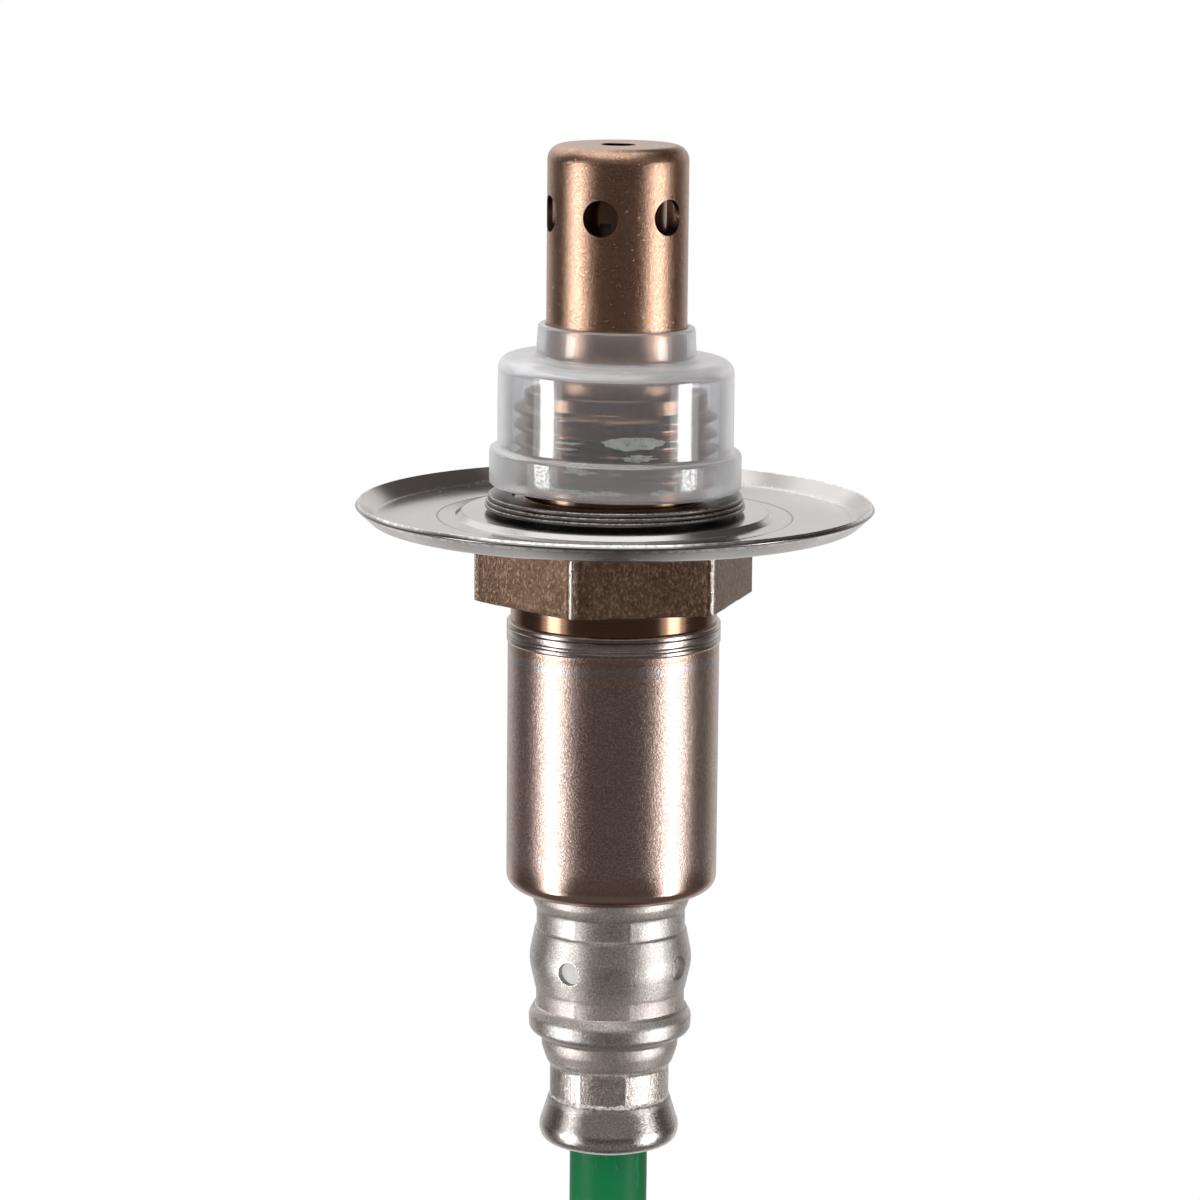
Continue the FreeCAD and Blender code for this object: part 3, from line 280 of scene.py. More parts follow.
class Graph:
    # x, y and z are millimetres on a piece, and a direction of length 1 in the world.
    def __init__(self, name, world=False):
        self.owner = (bpy.data.worlds if world else bpy.data.materials).new(name)
        self.owner.use_nodes = True
        self.tree = self.owner.node_tree
        self.tree.nodes.clear()
        self.place = self.node("TexCoord", output="Generated" if world else "Object")
        parts = self.node("SeparateXYZ", inputs={"Vector": self.place})
        outputs = parts.socket.node.outputs
        unit = 1 if world else mm
        self.x, self.y, self.z = (Wire(self, outputs[axis]) / unit for axis in "XYZ")

    def feed(self, socket, value):
        if isinstance(value, Wire):
            self.tree.links.new(value.socket, socket)
        else:
            socket.default_value = value

    def node(self, kind, settings=None, inputs=None, output=0):
        made = self.tree.nodes.new("ShaderNode" + kind)
        for name, value in (settings or {}).items():
            if name == "stops":
                self.fillRamp(made.color_ramp, value)
            else:
                setattr(made, name, value)
        for name, value in (inputs or {}).items():
            self.feed(made.inputs[name], value)
        return None if output is None else Wire(self, made.outputs[output])

    def fillRamp(self, ramp, stops):
        while len(ramp.elements) < len(stops):
            ramp.elements.new(0.5)
        for element, (position, colour) in zip(ramp.elements, stops):
            element.position = position
            element.color = colour

    def radius(self):
        return (self.x * self.x + self.y * self.y).math("SQRT")

    def turn(self):
        # 0 to 1 once round the axis, from the back.
        return self.x.math("ARCTAN2", 0.0 - self.y) / math.tau + 0.5

    def above(self, value, level, soft):
        # 1 above the level, fading over a soft edge.
        return ((value - level) / soft + 0.5).clamped()

    def below(self, value, level, soft):
        return 1 - self.above(value, level, soft)

    def between(self, value, low, high, soft):
        return self.above(value, low, soft) * ((high - value) / soft + 0.5).clamped()

    def band(self, low, high, soft):
        # 1 on the part of the piece between two levels.
        return self.between(self.z, low, high, soft)

    def noise(self, size, detail=3.0, stretch=(1, 1, 1), roughness=0.5):
        # size is the pattern's grain in millimetres.
        mapping = self.node("Mapping", inputs={"Vector": self.place, "Scale": stretch})
        return self.node("TexNoise", inputs={
            "Vector": mapping, "Scale": 1 / (size * mm), "Detail": detail, "Roughness": roughness,
        })

    def level(self, value, low, high):
        # Stretches the part of a noise between low and high over 0 to 1.
        return ((value - low) / (high - low)).clamped()

    def blend(self, factor, first, second):
        # Sockets 6 and 7 are the two colours, and output 2 is the mixed one.
        return self.node("Mix", {"data_type": "RGBA"}, {0: factor, 6: rgba(first), 7: rgba(second)}, 2)

    def mottled(self, cloud, dark, light):
        return self.blend(self.level(cloud, 0.3, 0.7), dark, light)

    def bump(self, height, distance):
        # distance is the real height of the relief in millimetres.
        return self.node("Bump", inputs={"Height": height, "Distance": distance * mm, "Strength": 1.0})

    def painted(self, colour, *coats):
        # Each coat is a mask and the colour that it brings.
        for mask, paint in coats:
            colour = self.blend(mask, colour, paint)
        return colour

    def toCorner(self, count, firstTurn):
        # 0 on each of the evenly spaced corners, rising to 0.5 midway between them.
        share = (self.turn() * count - (firstTurn + 180) * count / 360).math("FRACT")
        return 0.5 - (share - 0.5).math("ABSOLUTE")

    def holeRim(self, holes):
        # Two masks: a thin ring round each of the evenly spaced holes, and their inside.
        count = holes["holeCount"]
        share = (self.turn() * count - (holes["holeTurn"] + 180) * count / 360 + 0.5).math("FRACT") - 0.5
        across = share * (math.tau / count) * self.radius()
        up = self.z - holes["holeLevel"]
        away = (across * across + up * up).math("SQRT")
        radius = holes["holeRadius"]
        rim = self.between(away, radius + 0.01, radius + holes["rimWidth"], 0.03)
        return rim, self.below(away, radius + 0.005, 0.02)

    def surface(self, **sockets):
        names = {"colour": "Base Color", "metal": "Metallic", "rough": "Roughness", "normal": "Normal",
                 "through": "Transmission Weight", "index": "IOR", "coat": "Coat Weight",
                 "coatRough": "Coat Roughness", "coatIndex": "Coat IOR", "specular": "Specular IOR Level",
                 "alpha": "Alpha", "glow": "Emission Strength"}
        colours = {names[name]: rgba(value) for name, value in sockets.items() if "olour" in name}
        others = {names[name]: value for name, value in sockets.items() if "olour" not in name}
        return self.node("BsdfPrincipled", inputs=colours | others)

    def mixed(self, factor, first, second):
        return self.node("MixShader", inputs={0: factor, 1: first, 2: second})

    def output(self, shader, kind="OutputMaterial"):
        self.node(kind, inputs={"Surface": shader}, output=None)
        return self.owner

    def finish(self, **sockets):
        return self.output(self.surface(**sockets))


def rgba(colour):
    return colour if isinstance(colour, Wire) or len(colour) == 4 else (*colour, 1.0)


def screen(red, green, blue):
    # A colour as it reads on a screen, 0 to 255, turned into the linear values that shaders use.
    def linear(value):
        share = value / 255
        return share / 12.92 if share <= 0.04045 else ((share + 0.055) / 1.055) ** 2.4
    return (linear(red), linear(green), linear(blue))


# Camera, at the photograph's angle

camera = {
    "distance": 423.0,      # to the axis
    "aimLevel": -9.6,       # where the axis crosses the middle of the picture
    "pitch": 10.4,          # degrees, looking down
    "roll": 0.55,           # degrees, the sensor leans to the right
    "aimSide": -1.24,       # the axis stands a little right of the middle
    "lens": 142.9,
    "sensor": 36.0,
}


def addCamera():
    made = bpy.data.cameras.new("camera")
    made.lens = camera["lens"]
    made.sensor_width = camera["sensor"]
    made.clip_start = 0.02
    made.clip_end = 50
    viewer = bpy.data.objects.new("camera", made)
    bpy.context.scene.collection.objects.link(viewer)
    pitch = math.radians(camera["pitch"])
    aim = Vector((camera["aimSide"], 0, camera["aimLevel"])) * mm
    back = Vector((0, -math.cos(pitch), math.sin(pitch)))
    viewer.location = aim + back * camera["distance"] * mm
    facing = (-back).to_track_quat("-Z", "Y").to_euler()
    facing.rotate_axis("Z", math.radians(camera["roll"]))
    viewer.rotation_euler = facing
    bpy.context.scene.camera = viewer


addCamera()
print("camera placed")


# Cord and its tie

cordPlan = {
    "diameter": 7.0,
    "exitLevel": -58.6,     # where it leaves the crimped sleeve
    "length": 480.0,
    "foldRadius": 21.6,
    "foldSteps": 12,
    "upperFold": -109.6,    # centre of the upper fold
    "lowerFold": -184.6,
    "tieLevel": -147.1,
    "tieSide": 3.6,         # the two rear runs lie this far each side at the tie
    "tieRear": 1.0,
    "front": -6.2,          # the front run at the tie
    "tailSide": 4.0,        # the tail runs this far behind the axis
    "tailEnd": -231.6,
    "bow": 3.4,             # the upper fold bows this far to the rear
    "sectionSteps": 7,
    "runSteps": 10,
    "green": (0, 108, 62),  # screen colours
    "lightGreen": (6, 120, 70),
    "scratch": (80, 165, 120),
}


def foldPoints(centre, startDepth, endDepth, up):
    # One fold of the hank, from the tie round and back, its turns 12 or more.
    reach = abs(centre - cordPlan["tieLevel"])
    tangent = math.degrees(math.acos(cordPlan["foldRadius"] / reach))
    steps = cordPlan["foldSteps"]
    points = []
    for step in range(steps + 1):
        share = step / steps
        turn = math.radians(tangent + (360 - 2 * tangent) * share)
        side = cordPlan["foldRadius"] * math.sin(turn)
        rise = cordPlan["foldRadius"] * math.cos(turn)
        depth = startDepth + (endDepth - startDepth) * share
        if up:
            points.append((side, depth + cordPlan["bow"] * math.sin(math.pi * share), centre - rise))
        else:
            points.append((-side, depth, centre + rise))
    return points


def cordRoute():
    side = cordPlan["tieSide"]
    rear = cordPlan["tieRear"]
    front = cordPlan["front"]
    tie = cordPlan["tieLevel"]
    tail = cordPlan["tailSide"]
    down = [
        (0, 0, cordPlan["exitLevel"]), (0, 0, -64), (0, 0, -69), (0, -1.0, -76), (0, -4.2, -86),
        (0, -5.4, -98), (0, -6.0, -112), (0, front, -126), (0, front, tie + 8), (-0.4, front, tie - 2),
        (-4.0, front + 0.2, tie - 12),
    ]
    lower = foldPoints(cordPlan["lowerFold"], front + 0.8, -0.6, up=False)
    back = [
        (side + 2.6, rear - 0.3, tie - 11), (side, rear, tie - 2), (side, rear, tie + 4),
        (side + 2.2, rear, tie + 12),
    ]
    upper = foldPoints(cordPlan["upperFold"], rear, rear, up=True)
    again = [(-side - 2.2, rear, tie + 12), (-side, rear, tie + 4), (-side, rear, tie - 2)]
    out = [
        (-side + 0.4, rear + 0.5, tie - 12), (-1.9, 2.6, -172), (-0.5, 3.8, -186), (0, tail, -200),
        (0, tail, -212), (0, tail, -222), (0, tail, cordPlan["tailEnd"]),
    ]
    return down + lower + back + upper + again + out


def cordMaterial():
    graph = Graph("greenSheath")
    streaks = graph.noise(0.35, 4.0, (1, 1, 0.08))
    mottling = graph.noise(6.0, 2.0)
    scratches = graph.level(graph.noise(0.6, 5.0, (1, 1, 0.25)), 0.62, 0.70)
    colour = graph.mottled(mottling, screen(*cordPlan["green"]), screen(*cordPlan["lightGreen"]))
    colour = graph.blend(scratches * 0.35, colour, screen(*cordPlan["scratch"]))
    rough = 0.42 + 0.16 * streaks
    normal = graph.bump(streaks, 0.02)
    return graph.finish(colour=colour, rough=rough, normal=normal, specular=0.28)


def addCord():
    route = cordRoute()
    curve = bpy.data.curves.new("sensorCord", "CURVE")
    curve.dimensions = "3D"
    curve.bevel_depth = cordPlan["diameter"] / 2 * mm
    curve.bevel_resolution = cordPlan["sectionSteps"]
    curve.resolution_u = cordPlan["runSteps"]
    curve.use_fill_caps = True
    spline = curve.splines.new("NURBS")
    spline.points.add(len(route) - 1)
    for point, place in zip(spline.points, route):
        point.co = (*(Vector(place) * mm), 1)
    spline.order_u = 3
    spline.use_endpoint_u = True
    piece = bpy.data.objects.new("sensorCord", curve)
    piece.visible_glossy = False  # the hank would colour the disc, and the real cord hangs out of sight
    bpy.context.scene.collection.objects.link(piece)
    return addPiece(piece, cordMaterial(), "cord_green", "cord", "cord_hank", "cord_tail")


tiePlan = {
    "width": 4.0,
    "thickness": 1.1,
    "play": 0.25,           # from the cords to the strap
    "headWidth": 6.4,
    "headDepth": 4.6,
    "headLength": 5.6,
    "tongue": 7.0,          # cut end that stands out of the head
    "tongueSunk": 1.0,
    "tongueRear": 0.3,
    "headGap": 0.2,
    "strapEdge": 0.25,
    "bendSteps": 8,
    "headEdge": 0.6,
    "tongueEdge": 0.2,
    "black": (28, 28, 30),  # screen colours
    "worn": (44, 44, 46),
}


def tieMaterial():
    graph = Graph("blackNylon")
    grain = graph.noise(0.25, 3.0)
    worn = graph.noise(3.0, 2.0)
    colour = graph.blend(graph.level(worn, 0.35, 0.75), screen(*tiePlan["black"]), screen(*tiePlan["worn"]))
    return graph.finish(colour=colour, rough=0.38 + 0.12 * worn, normal=graph.bump(grain, 0.012))


def strapLoop():
    # The strap's run round the three cords, as the outline of three equal circles.
    radius = cordPlan["diameter"] / 2 + tiePlan["play"]
    centres = [
        Vector((0, cordPlan["front"])),
        Vector((cordPlan["tieSide"], cordPlan["tieRear"])),
        Vector((-cordPlan["tieSide"], cordPlan["tieRear"])),
    ]
    points = []
    for index, centre in enumerate(centres):
        before = centre - centres[index - 1]
        after = centres[(index + 1) % 3] - centre
        start = math.atan2(before.y, before.x) - math.pi / 2
        end = math.atan2(after.y, after.x) - math.pi / 2
        while end < start:
            end += math.tau
        for step in range(tiePlan["bendSteps"] + 1):
            turn = start + (end - start) * step / tiePlan["bendSteps"]
            points.append(centre + radius * Vector((math.cos(turn), math.sin(turn))))
    return points


def addTie():
    plan = tiePlan
    loop = strapLoop()
    deselectAll()
    bpy.ops.mesh.primitive_circle_add(vertices=len(loop), radius=1)
    strap = bpy.context.object
    low = cordPlan["tieLevel"] - plan["width"] / 2
    for vertex, point in zip(strap.data.vertices, loop):
        vertex.co = (point.x * mm, point.y * mm, low * mm)
    applyPlace(strap)
    with editing(strap):
        bpy.ops.mesh.extrude_region_move(TRANSFORM_OT_translate={"value": (0, 0, plan["width"] * mm)})
        bpy.ops.mesh.select_all(action="SELECT")
        bpy.ops.mesh.normals_make_consistent(inside=False)
    thicken(strap, plan["thickness"], offset=1)
    roundEdges(strap, plan["strapEdge"])
    headRear = cordPlan["tieRear"] + cordPlan["diameter"] / 2 + plan["play"] + plan["headDepth"] / 2
    headCentre = Vector((0, headRear + plan["headGap"], cordPlan["tieLevel"]))
    headBox = (plan["headLength"], plan["headDepth"], plan["headWidth"])
    head = block(headBox, headCentre, plan["headEdge"], 3)
    tongueSide = plan["headLength"] / 2 + plan["tongue"] / 2 - plan["tongueSunk"]
    tongueCentre = headCentre + Vector((tongueSide, plan["tongueRear"], 0))
    tongueBox = (plan["tongue"], plan["thickness"], plan["width"])
    tongue = block(tongueBox, tongueCentre, plan["tongueEdge"], 2)
    tie = joined([strap, head, tongue])
    tie.name = tie.data.name = "cordTie"
    smooth(tie)
    return addPiece(tie, tieMaterial(), "tie_black", "hank_tie")


sensorCord = addCord()
cordTie = addTie()
print("cord and tie made")


# Tip

tipPlan = {
    "outside": 6.21,
    "wall": 0.5,
    "top": 30.85,
    "edge": 1.3,
    "topHole": 1.5,
    "holeRadius": 1.6,
    "holeLevel": 24.9,
    "holeCount": 6,
    "holeTurn": -14.6,
    "flangeRadius": 7.31,
    "flangeLevel": 8.2,
    "dark": (0.46, 0.285, 0.195),
    "light": (0.56, 0.345, 0.24),
    "speck": (0.80, 0.62, 0.50),
    "hollow": (0.20, 0.12, 0.08),
    "scratch": (0.90, 0.80, 0.70),
    # painted highlight round the holes and under the top edge
    "rim": (0.84, 0.68, 0.54),
    "rimWidth": 0.07,
    # painted shade inside the holes
    "holeShade": (0.16, 0.10, 0.07),
    "topHoleShade": (0.02, 0.016, 0.015),
    "scratched": (12.0, 20.0),      # the levels with the most scratches
    "roughness": 0.20,
    "relief": 0.017,
}


def bronzeTipMaterial():
    # Drawn steel with a bronze heat tint, a satin grain and scratches; the holes' edges and a band under the
    # top edge are painted bright, painted highlights, and the holes' insides are painted dark, painted
    # shade.
    graph = Graph("bronzeTip")
    plan = tipPlan
    drawn = graph.noise(0.16, 3.0, (1, 1, 0.08))
    cloud = graph.noise(5.0, 3.0)
    grain = graph.noise(0.14, 3.0, roughness=0.7)
    speck = graph.level(graph.noise(0.18, 3.0), 0.52, 0.72)
    marks = graph.level(graph.noise(0.45, 6.0, (0.9, 0.9, 1.3), 0.7), 0.655, 0.695)
    low = graph.band(*plan["scratched"], 5.0)
    rim, wall = graph.holeRim(plan)
    # Painted shade inside the top hole.
    topHoleShadeMask = graph.above(graph.z, plan["top"] - 1, 0.1)
    topHoleShadeMask = topHoleShadeMask * graph.below(graph.radius(), plan["topHole"] + 0.03, 0.03)
    # A band under the top edge painted bright: a painted highlight.
    edge = graph.band(plan["top"] - 0.42, plan["top"] - 0.12, 0.2)
    edge = edge * graph.level(graph.noise(1.5, 3.0), 0.42, 0.6)
    colour = graph.painted(
        graph.mottled(cloud, plan["dark"], plan["light"]),
        (speck * 0.45, plan["speck"]),
        ((1 - graph.level(grain, 0.38, 0.52)) * 0.35, plan["hollow"]),
        ((marks * (0.25 + low * 0.5)).clamped(), plan["scratch"]),
        # Painted highlights round the holes and under the top edge.
        ((rim * 0.3 + edge * 0.2).clamped(), plan["rim"]),
        # Painted shade on the side holes' walls and inside the top hole.
        (wall * 0.6, plan["holeShade"]),
        (topHoleShadeMask, plan["topHoleShade"]),
    )
    rough = plan["roughness"] + 0.06 * cloud + 0.03 * drawn + 0.10 * marks
    relief = 0.12 * drawn + 1.5 * grain + 0.3 * marks
    return graph.finish(colour=colour, metal=1.0, rough=rough, normal=graph.bump(relief, plan["relief"]))


def addTip():
    plan = tipPlan
    wall = plan["wall"]
    inside = plan["outside"] - wall
    flangeTop = plan["flangeLevel"] + wall
    tip = turned("outerProtector", [
        (inside, plan["flangeLevel"]),
        (plan["flangeRadius"], plan["flangeLevel"]),
        (plan["flangeRadius"], flangeTop),
        (plan["outside"], flangeTop, 0.15),
        (plan["outside"], plan["top"], plan["edge"]),
        (plan["topHole"], plan["top"], 0.12),
        (plan["topHole"], plan["top"] - wall, 0.1),
        (inside, plan["top"] - wall, plan["edge"] - wall),
    ], segments=192, arcSteps=8, longest=0.5)
    drillRing(tip, plan, plan["outside"])
    smooth(tip, 35)
    return addPiece(tip, bronzeTipMaterial(), "tip_metal", "outer_protector")


# Housing: thread, hexagon, neck

housingPlan = {
    "threadRadius": 8.97,
    "threadPitch": 1.5,
    "threadDepth": 0.85,
    "threadStep": 0.125,    # between the rings that carry the thread
    "rootRadius": 8.1,
    "chamfer": 0.6,
    "threadTop": 8.4,
    "threadBottom": 1.4,
    "runOut": 0.5,
    "pilotRadius": 8.05,
    "noseTop": 9.4,
    "recessRadius": 7.36,
    "recessFloor": 7.8,
    "gasBore": 4.8,
    "undercutRadius": 8.0,
    "shoulderLevel": -0.3,
    "seatBottom": -2.0,
    "washerRadius": 10.7,
    "washerBottom": -2.4,
    "hexAcrossFlats": 22.0,
    "hexBottom": -9.26,
    "hexTurn": -17.1,
    "hexEdge": 0.16,
    "hexCuts": 11,
    "uneven": 0.10,
    "neckRadius": 9.175,
    "neckBottom": -11.2,
    "spigotRadius": 8.665,
    "spigotBottom": -14.0,
    "skirtRadius": 7.7,
    "bottom": -15.3,
    "skirtBore": 5.6,
    "packingBore": 6.7,
    "coneTop": 2.2,
    "threadFlat": 0.125,    # share of the pitch on a crest and in a root
    "unevenGrain": 0.9,
    "footHeight": 0.6,      # the lower edge waves up to here
    "footDrop": -0.02,
    "cornerStart": 0.9,     # past the flats, where the corners wear back
    "cornerWear": 0.4,
    "neckDark": (0.22, 0.125, 0.085),
    "neckLight": (0.36, 0.22, 0.15),
    "forgedDark": (0.15, 0.088, 0.058),
    "forgedLight": (0.22, 0.13, 0.09),
    "coarse": (0.30, 0.19, 0.13),
    "pit": (0.07, 0.045, 0.035),
    "fleck": (0.62, 0.47, 0.34),
    "rubbed": (0.90, 0.83, 0.76),
    "roughness": 0.12,
    "relief": 0.06,
}


def housingMaterial():
    # One turned and forged piece: machined thread, grainy hexagon with rubbed corners, polished neck.
    graph = Graph("housingSteel")
    plan = housingPlan
    hexagon = graph.band(plan["hexBottom"] - 0.1, plan["washerBottom"] + 0.05, 0.1)
    hexagon = hexagon * graph.above(graph.radius(), plan["neckRadius"] + 0.35, 0.2)
    grain = graph.noise(0.24, 4.0, roughness=0.7)
    coarse = graph.noise(0.7, 3.0)
    cloud = graph.noise(3.5, 2.0)
    fleck = graph.level(graph.noise(0.26, 3.0, (1, 1, 0.7)), 0.50, 0.70)
    pit = graph.level(graph.noise(0.3, 3.0), 0.42, 0.30)
    turnedLines = graph.noise(0.12, 2.0, (0.02, 0.02, 1))
    forged = graph.painted(
        graph.mottled(cloud, plan["forgedDark"], plan["forgedLight"]),
        (graph.level(coarse, 0.35, 0.7) * 0.5, plan["coarse"]),
        (pit * 0.7, plan["pit"]),
        (fleck * 0.5, plan["fleck"]),
    )
    toCorner = graph.toCorner(6, plan["hexTurn"])
    ragged = graph.noise(0.38, 4.0, roughness=0.7)
    rubbed = hexagon * graph.below(toCorner, 0.050 * ragged - 0.008, 0.006)
    nearCorner = hexagon * graph.below(toCorner, 0.030, 0.02)
    lowerEdge = graph.below(graph.z, plan["hexBottom"] + 0.02 + 0.22 * graph.noise(0.8, 3.0), 0.08)
    lowerEdge = hexagon * lowerEdge * graph.level(graph.noise(1.2, 3.0), 0.5, 0.62)
    rubbed = (rubbed + lowerEdge * 0.6).clamped()
    colour = graph.painted(
        graph.blend(turnedLines, plan["neckDark"], plan["neckLight"]),
        (hexagon, forged),
        (rubbed * 0.75, plan["rubbed"]),
    )
    rough = plan["roughness"] + 0.08 * turnedLines + hexagon * (0.16 + 0.14 * grain) - rubbed * 0.14
    relief = hexagon * (0.75 * grain + 0.25 * coarse) + nearCorner * ragged * 1.6
    relief = relief + (1 - hexagon) * 0.04 * turnedLines
    return graph.finish(colour=colour, metal=1.0, rough=rough, normal=graph.bump(relief, plan["relief"]))


def threadRadiusAt(level, turnDegrees):
    # A 60 degree vee with flats, on a helix that runs out at both ends.
    plan = housingPlan
    phase = (level / plan["threadPitch"] + turnDegrees / 360) % 1
    away = abs(phase - 0.5) * 2
    flat = plan["threadFlat"]
    groove = min(max((1 - flat - away) / (1 - 2 * flat), 0), 1)
    ends = min(level - plan["threadBottom"], plan["threadTop"] - level) / plan["runOut"]
    crest = plan["threadRadius"] - plan["chamfer"] * max(0, 1 - ends)
    return max(crest - plan["threadDepth"] * groove, plan["rootRadius"])


def cutThread(piece):
    plan = housingPlan
    for vertex in piece.data.vertices:
        level = vertex.co.z / mm
        radius = math.hypot(vertex.co.x, vertex.co.y) / mm
        if radius < plan["rootRadius"] or not plan["threadBottom"] <= level <= plan["threadTop"]:
            continue
        widen(vertex, threadRadiusAt(level, turnOf(vertex.co)) / radius)


def addHexagon():
    # A bevelled prism whose edges are a little uneven, as forging leaves them.
    plan = housingPlan
    corner = plan["hexAcrossFlats"] / 2 / math.cos(math.radians(30))
    height = plan["washerBottom"] - plan["hexBottom"]
    deselectAll()
    bpy.ops.mesh.primitive_cylinder_add(vertices=6, radius=corner * mm, depth=height * mm)
    hexagon = bpy.context.object
    hexagon.rotation_euler.z = math.radians(plan["hexTurn"])
    hexagon.location.z = (plan["washerBottom"] + plan["hexBottom"]) / 2 * mm
    applyPlace(hexagon)
    with editing(hexagon):
        bpy.ops.mesh.bevel(offset=plan["hexEdge"] * mm, segments=2, affect="EDGES")
        bpy.ops.mesh.select_all(action="SELECT")
        bpy.ops.mesh.subdivide(number_cuts=plan["hexCuts"])
    for vertex in hexagon.data.vertices:
        here = vertex.co / mm
        radius = math.hypot(here.x, here.y)
        uneven = noise.noise(here * plan["unevenGrain"]) * plan["uneven"]
        if here.z < plan["hexBottom"] + plan["footHeight"]:
            vertex.co.z += max(uneven, plan["footDrop"]) * mm
        if radius > plan["hexAcrossFlats"] / 2 + plan["cornerStart"]:
            widen(vertex, 1 - plan["cornerWear"] * abs(uneven) / radius)
    return hexagon


def addHousing():
    plan = housingPlan
    rings = math.ceil((plan["threadTop"] - plan["threadBottom"]) / plan["threadStep"])
    span = plan["threadTop"] - plan["threadBottom"]
    wall = [(plan["threadRadius"], plan["threadTop"] - span * ring / rings) for ring in range(rings + 1)]
    core = turned("threadedHousing", [
        (plan["gasBore"], plan["recessFloor"], 0.2),
        (plan["recessRadius"], plan["recessFloor"]),
        (plan["recessRadius"], plan["noseTop"], 0.15),
        (plan["pilotRadius"], plan["noseTop"], 0.2),
        (plan["pilotRadius"], plan["threadTop"]),
        *wall,
        (plan["undercutRadius"], plan["threadBottom"] - 0.05),
        (plan["undercutRadius"], plan["shoulderLevel"], 0.1),
        (plan["threadRadius"] + 0.03, plan["shoulderLevel"], 0.1),
        (plan["threadRadius"] + 0.03, plan["seatBottom"]),
        (plan["washerRadius"], plan["seatBottom"], 0.12),
        (plan["washerRadius"], plan["washerBottom"] - 0.2),
        (plan["neckRadius"], plan["washerBottom"] - 0.2),
        (plan["neckRadius"], plan["neckBottom"]),
        (plan["spigotRadius"], plan["neckBottom"]),
        (plan["spigotRadius"], plan["spigotBottom"], 0.3),
        (plan["skirtRadius"], plan["spigotBottom"]),
        (plan["skirtRadius"], plan["bottom"], 0.5),
        (plan["skirtBore"], plan["bottom"], 0.3),
        (plan["skirtBore"], plan["bottom"] + 1.0),
        (plan["packingBore"], plan["bottom"] + 1.0),
        (plan["packingBore"], plan["coneTop"] - 1.9),
        (plan["gasBore"], plan["coneTop"]),
    ], segments=180, arcSteps=4)
    cutThread(core)
    combine(core, addHexagon(), "UNION")
    cleanFaces(core, outward=False)
    smooth(core, 30)
    return addPiece(core, housingMaterial(), "steel_body", "housing")


# Folded gasket and dished disc

gasketPlan = {
    "inside": 9.1,
    "top": 0.0,
    "bottom": -1.5,
    "rolls": [      # radius, top, bottom
        (11.24, -0.02, -0.38),
        (11.40, -0.44, -0.78),
        (11.525, -0.84, -1.16),
    ],
    "rollEdge": 0.12,
    "notch": 0.2,
    "footRadius": 10.6,
    "undercut": -1.14,      # below this the colour is painted near black, a painted shade
    "dark": (0.15, 0.135, 0.125),
    "light": (0.26, 0.24, 0.225),
    # painted highlight on the folds' top edges
    "rubbed": (0.80, 0.76, 0.72),
    "shade": (0.02, 0.019, 0.018),
    "roughness": 0.24,
    "relief": 0.01,
}


def gasketMaterial():
    # Folded dark steel sheet; the top edge of each fold is painted bright and speckled, a painted highlight,
    # and its lowest part is painted near black, a painted shade.
    graph = Graph("gasketSteel")
    plan = gasketPlan
    rub = graph.level(graph.noise(0.3, 4.0, roughness=0.7), 0.42, 0.60)
    folds = [graph.band(top - 0.10, top + 0.02, 0.06) for radius, top, bottom in plan["rolls"]]
    fold = sum(folds) * graph.above(graph.radius(), 11.0, 0.2)
    cloud = graph.noise(1.6, 3.0)
    colour = graph.painted(
        graph.mottled(cloud, plan["dark"], plan["light"]),
        # Painted highlight along the top edge of each fold.
        (rub * fold * 0.8, plan["rubbed"]),
        # Painted shade below the undercut.
        (graph.below(graph.z, plan["undercut"], 0.05), plan["shade"]),
    )
    normal = graph.bump(cloud + rub * 0.3, plan["relief"])
    return graph.finish(colour=colour, metal=1.0, rough=plan["roughness"] + 0.12 * cloud, normal=normal)


def addGasket():
    plan = gasketPlan
    corners = [(plan["inside"], plan["bottom"]), (plan["inside"], plan["top"], 0.2)]
    for radius, top, bottom in plan["rolls"]:
        corners.append((radius, top, plan["rollEdge"]))
        corners.append((radius, bottom, plan["rollEdge"]))
        corners.append((radius - plan["notch"], bottom - 0.03))
    corners[-1] = (plan["footRadius"], bottom - 0.04)
    corners.append((plan["footRadius"], plan["bottom"]))
    gasket = turned("foldedGasket", corners, segments=160, arcSteps=4)
    return addPiece(gasket, gasketMaterial(), "gasket_metal", "gasket")


discPlan = {
    "bore": 9.1,
    "top": -1.5,
    "thickness": 0.5,
    "plateRadius": 13.6,
    "stepRadius": 14.15,
    "panRadius": 15.8,
    "drop": 0.5,
    "rimFoot": 21.3,
    "rimRadius": 23.0,
    "rimTop": -0.7,
    "dark": (0.56, 0.545, 0.535),
    "light": (0.63, 0.615, 0.60),
    "speck": (0.35, 0.33, 0.31),
    # painted shade in the crease and at the step
    "line": (0.10, 0.095, 0.09),
    "bright": (0.93, 0.92, 0.90),
    "roughness": 0.13,
    "relief": 0.0012,
}


